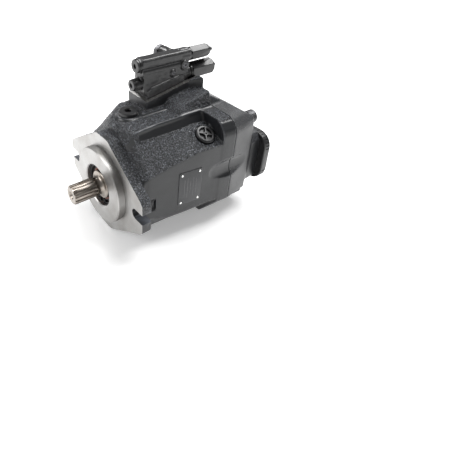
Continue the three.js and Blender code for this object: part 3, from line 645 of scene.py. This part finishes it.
def housing_blank():
    """Rough outer shape of the housing, with every block and boss still overlapping."""
    sections = ((NECK, FLANGE - 1), (FRONT, 21), (MIDDLE, 50), (WAIST, 88), (REAR, SEAM_Y + SKIN))
    return joined([
        along_y(EARS, -SKIN, FLANGE),
        loft([ring(outline, y) for outline, y in sections]),
        loft([ring(FLANGE_FRONT, REAR_FLANGE_Y), ring(SEAM, SEAM_Y + SKIN)]),
        valve_pad(),
        ramp(),
        rib([(38, 24, 84), (38, 50, 86), (38, REAR_FLANGE_Y, 86)], 1.9),
        rib([(15, 46, 88), (15, 86, 88.5)], 1.3),
        rod(15, 70, DRAIN_PLUG[2] + 1.2, (0, DRAIN_PLUG[1], 0), ALONG_Z),
        rod(16.6, -9, 2.6, DRAIN_PORT, DRAIN_AXIS),
        loft([[(-10, 14, 60), (12, 14, 60), (12, 14, 75), (1, 14, 80), (-10, 14, 75)],
              [(-4, 30, 60), (6, 30, 60), (6, 30, 86), (1, 30, 87), (-4, 30, 86)]]),
    ])


def pilot():
    profile = [(0, 3), (PILOT_RADIUS, 3), (PILOT_RADIUS, -PILOT_HEIGHT + 1.2),
               (PILOT_RADIUS - 1.2, -PILOT_HEIGHT), (0, -PILOT_HEIGHT)]
    return lathe(profile, sides=160, surface=MACHINED)


def pilot_groove():
    inner, outer, depth = PILOT_RADIUS - 0.6, PILOT_RADIUS + 0.2, 1.4
    profile = [(inner, 0.01), (inner, -depth), (outer, -depth), (outer, 0.01)]
    return lathe(profile, sides=160, surface=MACHINED)


def front_recess():
    """Seal seat with the circlip's groove, and the front bearing's seat behind it."""
    profile = [(0, -12), (29.2, -12), (29.2, -PILOT_HEIGHT), (28, -8.3), (28, -4.3), (29.6, -4.3),
               (29.6, -2.3), (28, -2.3), (28, 5.3), (23, 5.3), (23, 8.2), (36.3, 8.2), (36.3, 32), (0, 32)]
    return lathe(profile, sides=96, surface=MACHINED)


def build_housing():
    body = housing_blank()
    remesh(body, 1.25)
    cut(body, *scoop_cutters(1), *scoop_cutters(-1), bolt_pocket(1), bolt_pocket(-1))
    remesh(body, 1.2)
    soften(body, 4)
    roughen(body, 0.75, 2.8, is_rough)
    roughen(body, 0.3, 18)
    for side in (-1, 1):
        x0, x1 = sorted((side * (HALF_WIDTH - 0.05), side * (HALF_WIDTH + 9)))
        cut(body, box(x0, x1, -20, 160, -90, 160))
    cut(body, underside(), slab(-20, 0), slab(SEAM_Y, SEAM_Y + 20))
    seat = along_x([(40, pad_top(40)), (160, pad_top(160)), (160, 160), (40, 160)], -36, 8.1, MACHINED)
    cut(body, seat, rod(12.4, 123, SEAM_Y + 3, (VALVE_X, 0, LOWER_Z)))
    fuse(body, pilot())
    cut(body, pilot_groove(), front_recess())
    cut(body, bore(CAVITY, 30, SEAM_Y + 2, sides=96), *lever_slots(55, 45, SEAM_Y + 2))
    plug_axis = (0, DRAIN_PLUG[1], 0)
    cut(body, bore(12.5, DRAIN_PLUG[2], 100, plug_axis, ALONG_Z), bore(8.3, 50, 90, plug_axis, ALONG_Z))
    cut(body, rod(14.2, BOSS_TOP, 12, DRAIN_PORT, DRAIN_AXIS, 96), bore(8.5, -34, 2, DRAIN_PORT, DRAIN_AXIS))
    cut(body, *slot_cutters(), *bolt_holes(125, SEAM_Y + 2))
    mark_rough(body)
    return body


# ---------- port plate ----------
def port_plate_blank():
    """Plate with its sloping top, and the port block behind it."""
    front, rear = PLATE_FRONT - SKIN, BLOCK_FRONT + 1.4
    under_slope = [(130, -80), (BLOCK_FRONT + 1.5, -80), (BLOCK_FRONT + 1.5, 77.4), (141, 99.6), (130, 106)]
    plate = loft([ring(SEAM, front), ring(PLATE_REAR, rear)])
    fuse(plate, along_y([(-40, 80), (-33, 102), (30, 102), (37, 80)], front, rear))
    keep(plate, along_x(under_slope, -100, 100))
    port_block = loft([ring(block_outline(77.5), BLOCK_FRONT - 5), ring(block_outline(75), REAR_Y + SKIN)])
    return joined([plate, port_block])


def build_port_plate():
    body = port_plate_blank()
    remesh(body, 1.25)
    cut(body, *scoop_cutters(1), *scoop_cutters(-1))
    remesh(body, 1.25)
    soften(body, 5)
    roughen(body, 0.3, 18)
    cut(body, slab(PLATE_FRONT - 20, PLATE_FRONT), underside(), slab(REAR_Y, REAR_Y + 20))
    for x, z in COVER_BOLTS:
        cut(body, bore(BOLT_HOLE, 139, REAR_Y, (x, 0, z)), rod(10, BLOCK_FRONT, REAR_Y + 20, (x, 0, z)))
    cut(body, bore(47, 139, 142, sides=96), bore(21.3, 141, 162))
    cut(body, bore(8.4, 139, 175, (0, 0, CONTROL_Z)), bore(4.6, 139, 174, (0, 0, COUNTER_Z)))
    for x, z, radius, _, _, bolt_x, bolt_z in (SUCTION, PRESSURE):
        mouth = [(0, 160), (radius, 160), (radius, REAR_Y - 1), (radius + 1, REAR_Y + 1), (0, REAR_Y + 1)]
        cut(body, lathe(mouth, (x, 0, z), surface=MACHINED))
        for i in (-1, 1):
            for k in (-1, 1):
                at = (x + i * bolt_x, 0, z + k * bolt_z)
                cut(body, bore(4.2, REAR_Y - 18, REAR_Y + 2, at, sides=24))
    mark_rough(body)
    return body


# ---------- control valve ----------
def build_valve_body():
    def bottom(y):
        return pad_top(y) + GAP
    upper, lower = (VALVE_X, 0, UPPER_Z), (VALVE_X, 0, LOWER_Z)
    foot = [(64, bottom(64) - 1), (120, bottom(120) - 1), (120, 120), (112, 122), (70, 115), (64, 112)]
    block = [(66, bottom(66) - 1), (60, 111), (60, 134), (127, 134), (127, 114), (122, bottom(122) - 1)]
    bar = arc(VALVE_X, UPPER_Z, 9, -90, 0, 6) + [
        (1.5, 149), (-0.5, 151.5), (-13, 151.5), (-16.5, 148), (-16.5, 134)]
    body = joined([
        along_x(foot, -30, 3),
        along_x(block, -19, 1.5),
        along_y(bar, 58.8, 131),
        along_y(arc(VALVE_X, 134, 9.2, 0, 345, 23), 58.8, 127),
        rod(8.8, 55.5, 60, upper),
        rod(7.6, 50, 62, lower),
        rod(9.6, 124, 133, lower),
        rod(10, -28, -14, VALVE_PORT, ALONG_X),
        rod(6.2, 0, 3.6, LARGE_SIDE_PLUG, ALONG_X),
        rod(4.6, 0, 3.4, SMALL_SIDE_PLUG, ALONG_X),
        rod(9.4, 118, 131, upper),
    ])
    remesh(body, 0.7)
    soften(body, 3)
    roughen(body, 0.18, 5)
    cut(body, along_x([(40, bottom(40)), (160, bottom(160)), (160, 80), (40, 80)], -40, 20, MACHINED))
    cut(body, bore(SPOOL_BORE, 40, 140, upper), bore(SPOOL_BORE, 40, 140, lower))
    cut(body, bore(5.3, -29, -17, VALVE_PORT, ALONG_X))
    cut(body, rod(4.1, 2.2, 9, LARGE_SIDE_PLUG, ALONG_X), rod(3.0, 2.4, 9, SMALL_SIDE_PLUG, ALONG_X))
    return body


# ---------- shaft and seal ----------
def build_shaft():
    lead = [(0, TIP_Y), (11.2, TIP_Y), (12.3, TIP_Y + 1.1), (SPLINE_RADIUS, TIP_Y + 1.6),
            (SPLINE_RADIUS, -15.2), (11.2, -13.6), (11, -13.2), (11, -11.4)]
    fillet = [(11.2, -10), (11.8, -8.7), (12.8, -7.5), (14.2, -6.7), (16, -6.3), (17.9, -6.1)]
    rest = [(18.7, -5.4), (18.7, -3.4), (17.5, -3), (17.5, 26.8), (20.5, 26.8), (20.5, 29.5),
            (13, 30.5), (13, 138.5), (10, 139.5), (10, 159), (9, 160), (0, 160)]
    shaft = lathe(lead + fillet + rest, sides=120)
    for i in range(TEETH):
        groove = spline_groove()
        groove.data.transform(Matrix.Rotation(2 * math.pi * i / TEETH, 4, "Y"))
        cut(shaft, groove)
    cut(shaft, centre_thread())
    return bevel(shaft, 0.14, 1, 35)


def spline_groove():
    """One gap between two teeth, running out to nothing towards the neck."""
    def section(y, floor, shoulder, top):
        (a, low), (b, middle), (c, high) = floor, shoulder, top
        return [(-a, y, low), (a, y, low), (b, y, middle), (c, y, high), (-c, y, high), (-b, y, middle)]
    full = ((0.75, 10.9), (1.15, 11.6), (1.35, 13.4))
    run_out = ((0.2, 12.9), (0.3, 13.0), (0.35, 13.4))
    return loft([section(-48, *full), section(-17, *full), section(-13.4, *run_out)])


def centre_thread():
    """Tapped hole in the shaft's end, with its countersink."""
    minor, major, pitch = 3.4, 4.0, 1.25
    hole = [(0, TIP_Y - 1), (6.0, TIP_Y - 1), (5.6, TIP_Y), (major, TIP_Y + 2.2)]
    for i in range(13):
        start = TIP_Y + 2.4 + pitch * i
        hole += [(minor, start), (major, start + pitch / 2)]
    hole += [(minor, TIP_Y + 20), (0, TIP_Y + 22)]
    return lathe(hole, sides=40)


def build_seal():
    profile = [(17.9, 1.6), (17.9, 0.4), (18.6, -0.6), (19.6, -1.4), (20.6, -1.9), (22.0, -1.9), (22.6, -0.7),
               (24.6, -0.7), (25.2, -1.9), (27.6, -1.9), (27.7, -1.2), (27.7, 4.9), (21, 4.9)]
    return lathe(profile, sides=96)


def build_lip():
    profile = [(18.9, -1.3), (19.3, -2.1), (20.4, -2.5), (21.2, -2.3), (21.3, -1.6), (20.4, -1.2)]
    return lathe(profile, sides=96)


def build_circlip():
    band = lathe([(25.4, -3.8), (29.1, -3.8), (29.1, -2.7), (25.4, -2.7)], sides=96)
    cut(band, box(-3.6, 3.6, -5, -1, -31, -20))
    for side in (-1, 1):
        ear = rod(2.4, -3.8, -2.7, (side * 5.6, 0, -24.6), sides=24)
        cut(ear, rod(0.9, -5, 0, (side * 5.6, 0, -24.6), sides=16))
        fuse(band, ear)
    return bevel(band, 0.2, 2)


# ---------- screws, plugs and adjusters ----------
def socket_head(at, axis, radius, height, key, depth, chamfer=0.8, slot_count=0):
    """A round head with a hex socket; its seat is at `at` and it rises along `axis`."""
    shell = [(0, -0.01), (radius, -0.01), (radius, height - chamfer), (radius - chamfer, height), (0, height)]
    head = lathe(shell, sides=64)
    rim, above = height - depth * 0.28, height + 0.1
    countersink = lathe([(0, rim), (key * 0.54, rim), (key * 0.62, above), (0, above)], sides=48)
    cut(head, along_y(hexagon(key), height - depth, height + 1), countersink)
    for i in range(slot_count):
        groove = rod(0.35, -1, height - chamfer * 1.1, (radius + 0.15, 0, 0), sides=8)
        groove.data.transform(Matrix.Rotation(2 * math.pi * i / slot_count, 4, "Y"))
        cut(head, groove)
    bevel(head, 0.18, 2, 35)
    turn = Vector((0, 1, 0)).rotation_difference(Vector(axis)).to_matrix().to_4x4()
    head.data.transform(Matrix.Translation(at) @ turn)
    return head


def build_cover_bolt(x, z):
    head = socket_head((x, BLOCK_FRONT + GAP, z), (0, 1, 0), 9, 12, 10, 6, 1.1, 36)
    shank = rod(5.95, 126.3, BLOCK_FRONT + 0.4, (x, 0, z))
    return joined([head, shank])


def build_adjuster(z, start, across, length):
    """Hex spring housing with a chamfered end, a turned collar and a round nose."""
    at = (VALVE_X, start, z)
    corner, nose_radius = across * 0.565, across * 0.42
    hexes = along_y(hexagon(across, VALVE_X, z), start + 3, start + length - 3)
    dome = [(0, 0), (across * 0.51, 0), (corner, 1.4), (corner, length - 6.2), (across * 0.50, length - 3.6),
            (0, length - 3.4)]
    keep(hexes, lathe(dome, at, sides=96))
    bevel(hexes, 0.5, 3, 25)
    collar = [(0, 0), (across * 0.47, 0), (across * 0.49, 0.5), (across * 0.49, 3.6), (0, 3.6)]
    nose = [(0, length - 4), (nose_radius, length - 4), (nose_radius, length - 1.2),
            (across * 0.37, length - 0.2), (0, length)]
    fuse(hexes, lathe(collar, at, sides=64), lathe(nose, at, sides=64))
    return cut(hexes, rod(SPOOL_BORE, -1, length - 8, at), rod(3.2, length - 9, length + 1, at))


def build_adjuster_screw(z, seat, end):
    length = end - seat
    major, minor, pitch = 2.9, 2.55, 0.8
    profile = [(0, 0), (4.6, 0), (4.8, 0.2), (4.8, 2.3), (4.6, 2.5), (major, 3)]
    for i in range(int((length - 5) / pitch)):
        profile += [(major, 3.4 + i * pitch), (minor, 3.4 + (i + 0.5) * pitch)]
    profile += [(major, length - 0.9), (2.3, length), (0, length)]
    screw = lathe(profile, (VALVE_X, seat, z), sides=40)
    cut(screw, along_y(hexagon(2.8, VALVE_X, z), end - 3, end + 1))
    return screw


def build_port_cap():
    """Plastic plug of the drain port: a rimmed cap with four spokes and a threaded stem."""
    turn = Vector((0, 1, 0)).rotation_difference(DRAIN_AXIS).to_matrix().to_4x4()
    rim = [(0, 0), (12.2, 0), (12.5, 0.4), (12.5, 3.6), (12.0, 4.3), (10.8, 4.9), (9.4, 4.9), (8.6, 4.4),
           (8.4, 2.2), (0, 2.0)]
    spoke = [(-1.5, 1.5), (1.5, 1.5), (1.0, 4.5), (0.5, 4.9), (-0.5, 4.9), (-1.0, 4.5)]
    cap = lathe(rim, sides=96)
    for i in range(4):
        blade = loft([[(x, y, r) for x, y in spoke] for r in (0.5, 9.3)])
        blade.data.transform(Matrix.Rotation(math.pi / 2 * i, 4, "Y"))
        fuse(cap, blade)
    fuse(cap, lathe([(0, 1.5), (3.2, 1.5), (3.0, 4.4), (2.4, 4.9), (0, 4.9)], sides=32))
    cut(cap, lathe([(0, 3.6), (1.2, 3.6), (1.5, 5.2), (0, 5.2)], sides=24))
    stem = [(0, -12), (6.8, -12), (7.4, -11)]
    for i in range(5):
        stem += [(8.1, -10.4 + 2 * i), (7.5, -9.4 + 2 * i)]
    stem += [(7.8, 0.5), (0, 0.5)]
    fuse(cap, lathe(stem, sides=48))
    bevel(cap, 0.15, 1, 40)
    start = DRAIN_PORT + DRAIN_AXIS * (BOSS_TOP + GAP)
    cap.data.transform(Matrix.Translation(start) @ turn)
    return cap


def build_cover(port):
    """Plug-in port cover with a ribbed rim, a dished back and a hollow spigot."""
    x, z, radius, width, height, _, _ = port
    y0, y1 = REAR_Y + GAP, REAR_Y + GAP + 12

    def outline(inset):
        return rounded_box(width - 2 * inset, height - 2 * inset, 20 - inset, x, z, 14)

    levels = [(y0, 1.0), (y0 + 0.8, 0), (y1 - 2.4, 0), (y1 - 0.9, 0.8), (y1, 2.4)]
    cover = loft([ring(outline(inset), y) for y, inset in levels])
    cut(cover, loft([ring(outline(inset), y) for y, inset in ((y1 - 2.2, 9), (y1 + 1, 6.4))]))
    for px, pz in outline(0)[::2]:
        cut(cover, rod(0.9, y0 + 2.4, y1 - 3.2, (px, 0, pz), sides=10))
    for rib_width, rib_height in ((width - 26, 5), (5, height - 26)):
        fuse(cover, along_y(rounded_box(rib_width, rib_height, 2.4, x, z, 5), y1 - 3, y1 - 0.5))
    inner, outer = radius - 3.2, radius - 0.6
    spigot = [(inner, 1.5), (inner, -9), (radius - 1.2, -9), (outer, -8), (outer, -5), (radius - 1.1, -4.6),
              (outer, -4.2), (outer, 1.5)]
    fuse(cover, lathe(spigot, (x, y0, z), sides=64))
    return bevel(cover, 0.25, 2, 35)


def build_name_plate():
    """Blank plate with four rivets and a few raised rules, flush on the flared side."""
    plate = bevel(along_x(rounded_box(33, 49, 2), -0.6, 0.75), 0.2, 2)
    pieces = [(plate, 0)]
    profile = [(0, 0.4), (1.7, 0.4), (1.7, 0.9), (1.4, 1.4), (0.7, 1.75), (0, 1.8)]
    for y, z in ((-12.6, -20.6), (-12.6, 20.6), (12.6, -20.6), (12.6, 20.6)):
        pieces.append((lathe(profile, (0, y, z), (1, 0, 0), 24), 1))
    for i, half in enumerate((13, 15, 9, 14, 11)):
        y = -8.4 + 4.2 * i
        pieces.append((bevel(box(0.6, 0.85, y, y + 0.5, -half, half), 0.06, 1), 2))
    for piece, surface in pieces:
        piece.data.polygons.foreach_set("material_index", [surface] * len(piece.data.polygons))
    out = joined([piece for piece, _ in pieces])
    out.data.transform(Matrix.Translation(PLATE_CENTRE) @ Matrix.Rotation(-SIDE_FLARE, 4, "Z"))
    return out


def build_gasket():
    """Sheet in the seam, a little smaller than the castings so that the seam reads as a groove."""
    shrink, middle = 0.98, 9
    inset = [(shrink * x, middle + shrink * (z - middle)) for x, z in SEAM]
    sheet = along_y(inset, SEAM_Y + GAP, SEAM_Y + GAP + 0.6)
    y0, y1 = SEAM_Y - 1, SEAM_Y + 2
    cut(sheet, bore(CAVITY, y0, y1, sides=96), *lever_slots(y0, y0, y1))
    return cut(sheet, *scoop_cutters(1), *scoop_cutters(-1), *bolt_holes(y0, y1, 32))


def build_valve_port_plug():
    hexes = along_x(hexagon(19, *VALVE_PORT[1:]), -36, -28.3)
    dome = [(0, -36.1), (9.6, -36.1), (11.1, -34.7), (11.1, -28), (0, -28)]
    keep(hexes, lathe(dome, VALVE_PORT, ALONG_X, 64))
    bevel(hexes, 0.35, 2, 25)
    return fuse(hexes, rod(4.9, -29, -18, VALVE_PORT, ALONG_X))


# ---------- pistons and slippers ----------
def build_piston(x, z):
    """Piston about its ball centre, with a drilled crown and two oil grooves."""
    ball_radius, groove = 6.4, PISTON_RADIUS - 0.4
    profile = arc(0, 0, ball_radius, -90, 46, 20)
    profile[0] = (0, -ball_radius)
    profile += [(4.3, 7.5), (PISTON_RADIUS - 0.6, 11.4), (PISTON_RADIUS, 12.2)]
    for y in (20, 26):
        profile += [(PISTON_RADIUS, y), (groove, y + 0.2), (groove, y + 0.8), (PISTON_RADIUS, y + 1)]
    profile += [(PISTON_RADIUS, 46), (PISTON_RADIUS - 0.5, 46.5), (4, 46.5), (3.4, 43), (0, 42)]
    return lathe(profile, (x, TILT_Y, z), sides=48)


def build_slipper(x, z):
    """Slipper about its ball centre, with a balance groove in its running face."""
    socket_radius = 6.8
    socket = arc(0, 0, socket_radius, 26, -90, 20)
    socket[-1] = (0, -socket_radius)
    profile = [(0, -9), (5.4, -9), (5.6, -8.6), (6.8, -8.6), (7.0, -9), (10.1, -9), (10.4, -8.7),
               (10.4, -6.8), (8.5, -6.5), (8.1, -5.8), (8.1, 2.7), (7.8, 3)]
    return lathe(profile + socket, (x, TILT_Y, z), sides=48)


# ---------- the pump ----------
def place_plain(obj, name, material, body, nodes=(), sharp=SHARP):
    """Places a piece whose cast and machined faces share one material."""
    return place(obj, name, [material, material], body, nodes, sharp)


def place_valve_stage(label, z, front, rear, plug_radius, across, length, tip):
    """Adjuster, adjusting screw and front plug of one spool."""
    place_plain(build_adjuster(z, rear + GAP, across, length), f"{label}_hex_adjuster",
                VALVE_PAINT, "housing", [f"{label}_adjuster"])
    place_plain(build_adjuster_screw(z, rear + 16, rear + tip), f"{label}_threaded_screw",
                DARK_STEEL, f"{label}_adjuster_screw", [f"{label}_adjuster_screw"])
    plug = joined([socket_head((VALVE_X, front - GAP, z), (0, -1, 0), plug_radius, 2.5, 5, 1.8, 0.6),
                   rod(4.9, front - 0.5, front + 8, (VALVE_X, 0, z))])
    place_plain(plug, f"{label}_socket_plug", VALVE_PAINT, "housing", [f"{label}_front_plug"])


def build_top_plug():
    x, y, z = DRAIN_PLUG
    return joined([socket_head((x, y, z + GAP), ALONG_Z, 11.8, 5.5, 8, 4, 1.0),
                   rod(8, z - 13.7, z + 0.6, (x, y, 0), ALONG_Z)])


def build_side_plugs():
    large = Vector(LARGE_SIDE_PLUG) + Vector((2.0, 0, 0))
    small = Vector(SMALL_SIDE_PLUG) + Vector((2.2, 0, 0))
    return joined([socket_head(large, ALONG_X, 3.9, 1.7, 2.6, 1.2, 0.4),
                   socket_head(small, ALONG_X, 2.8, 1.3, 2.0, 1.0, 0.3)])


place(build_housing(), "housing_casting", [PAINT, FACE], "housing", ["pump_housing"], 40)
place(build_port_plate(), "port_plate_casting", [PAINT, FACE], "housing", ["port_plate"], 40)
place_plain(build_gasket(), "seam_gasket", GASKET, "housing", ["housing_gasket"])
place(build_valve_body(), "valve_casting", [VALVE_PAINT, STEEL], "housing", ["valve_body"], 40)
place_plain(build_shaft(), "splined_shaft", SHAFT_STEEL, "shaft", ["drive_shaft"], 30)
place_plain(build_seal(), "seal_ring", RUBBER, "housing", ["shaft_seal"])
place_plain(build_lip(), "seal_lip_ring", LIP, "housing")
place_plain(build_circlip(), "circlip", DARK_STEEL, "housing", ["seal_circlip"])
for number, (bolt_x, bolt_z) in enumerate(COVER_BOLTS, 1):
    place_plain(build_cover_bolt(bolt_x, bolt_z), f"socket_screw_{number}", DARK_STEEL,
                "housing", [f"cover_bolt_{number}"])
place_valve_stage("upper", UPPER_Z, front=55.5, rear=131, plug_radius=8.4, across=16.5, length=35, tip=41.3)
place_valve_stage("lower", LOWER_Z, front=50, rear=133, plug_radius=7.2, across=21, length=42, tip=48)
place_plain(build_valve_port_plug(), "hex_port_plug", DARK_STEEL, "housing",
            ["valve_port_plug"])
place_plain(build_top_plug(), "top_socket_plug", VALVE_PAINT, "housing", ["drain_plug"])
place_plain(build_side_plugs(), "valve_side_plugs", DARK_STEEL, "housing")
place_plain(build_port_cap(), "spoked_port_cap", PLASTIC, "drain_port_cap", ["drain_port_cap"])
for side, port in (("suction", SUCTION), ("pressure", PRESSURE)):
    place_plain(build_cover(port), f"ribbed_{side}_cover", PLASTIC, f"{side}_cover",
                [f"{side}_cover"])
place(build_name_plate(), "riveted_plate", [PLATE, RIVET, PRINT], "housing", ["name_plate"])
for number in range(1, PISTONS + 1):
    angle = 2 * math.pi * (number - 1) / PISTONS + math.pi / 2
    x, z = SHOE_CIRCLE * math.cos(angle), SHOE_CIRCLE * math.sin(angle)
    piston, slipper = f"piston_{number}", f"slipper_{number}"
    place_plain(build_piston(x, z), f"ball_{piston}", STEEL, piston, [piston])
    place_plain(build_slipper(x, z), f"bronze_{slipper}", BRONZE, slipper, [slipper])

# The other sealed pieces keep their CAD shapes and take a metal finish.
INNER = {
    STEEL: ["front_bearing_cup", "front_bearing_cone", "rear_bearing_cup", "rear_bearing_cone",
            "cylinder_barrel", "guide_ball", "swashplate", "control_piston", "counter_piston",
            "upper_spool", "lower_spool"],
    BRONZE: ["valve_plate", "cradle_bearing_right", "cradle_bearing_left"],
    SPRING: ["barrel_spring", "counter_spring", "upper_valve_spring", "lower_valve_spring"],
    DARK_STEEL: ["retainer_plate"],
}
for material, names in INNER.items():
    for name in names:
        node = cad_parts[name]
        node.data.materials.clear()
        node.data.materials.append(material)
        node.data.shade_smooth()
        node.data.set_sharp_from_angle(angle=math.radians(SHARP))


# ---------- floor, lights and camera ----------
def build_floor():
    obj = lathe([(0, 0), (3000, 0), (3000, -4), (0, -4)], sides=64)
    obj.name = "floor"
    obj.data.transform(Matrix.Rotation(math.pi / 2, 4, "X"))
    obj.data.transform(Matrix.Scale(MM, 4))
    obj.location.z = -0.0004
    r = Recipe("floor_paper")
    shade = r.ramp(r.noise(3, 2), [(0.3, (0.90, 0.90, 0.90)), (0.7, (0.93, 0.93, 0.93))])
    r.set(Base_color=shade, Roughness=0.9, Specular_ior_level=0.1)
    r.set(Emission_color=(1.0, 1.0, 1.0), Emission_strength=0.3)
    obj.data.materials.clear()
    obj.data.materials.append(r.material)


def area_light(name, at, size, power, target=(0, 0, 0.09)):
    light = bpy.data.lights.new(name, "AREA")
    light.shape = "RECTANGLE"
    light.size, light.size_y = size
    light.energy = power
    obj = new_object(name, light)
    obj.location = at
    obj.rotation_euler = (Vector(target) - Vector(at)).to_track_quat("-Z", "Y").to_euler()


build_floor()
world = bpy.data.worlds.new("studio")
world.use_nodes = True
world.node_tree.nodes["Background"].inputs["Color"].default_value = (1, 1, 1, 1)
world.node_tree.nodes["Background"].inputs["Strength"].default_value = 0.28
scene.world = world
scene.view_settings.view_transform = "Standard"
area_light("key", (-0.1, 0.75, 1.6), (1.3, 1.3), 52)
area_light("left", (-1.3, 0.05, 1.3), (0.35, 0.35), 9)
area_light("front", (-0.6, -1.5, 0.9), (0.9, 0.9), 14)

AZIMUTH, ELEVATION, ROLL = math.radians(53.39), math.radians(32.86), math.radians(1.56)
DISTANCE = 0.5583
TARGET = Vector((0, 80, 20))
reach = math.cos(ELEVATION)
back = Vector((math.sin(AZIMUTH) * reach, -math.cos(AZIMUTH) * reach, math.sin(ELEVATION)))
right = Vector((math.cos(AZIMUTH), math.sin(AZIMUTH), 0))
up = back.cross(right)
camera_x = right * math.cos(ROLL) + up * math.sin(ROLL)
camera_y = up * math.cos(ROLL) - right * math.sin(ROLL)
camera_data = bpy.data.cameras.new("camera")
camera_data.sensor_width = 36
camera_data.lens = 33.09
camera_data.shift_x = 0.1553
camera_data.shift_y = -0.165
camera_data.clip_start = 0.01
camera = new_object("camera", camera_data)
turn = Matrix((camera_x, camera_y, back)).transposed().to_4x4()
camera.matrix_world = Matrix.Translation(TO_ROW @ TARGET + back * DISTANCE) @ turn
scene.camera = camera
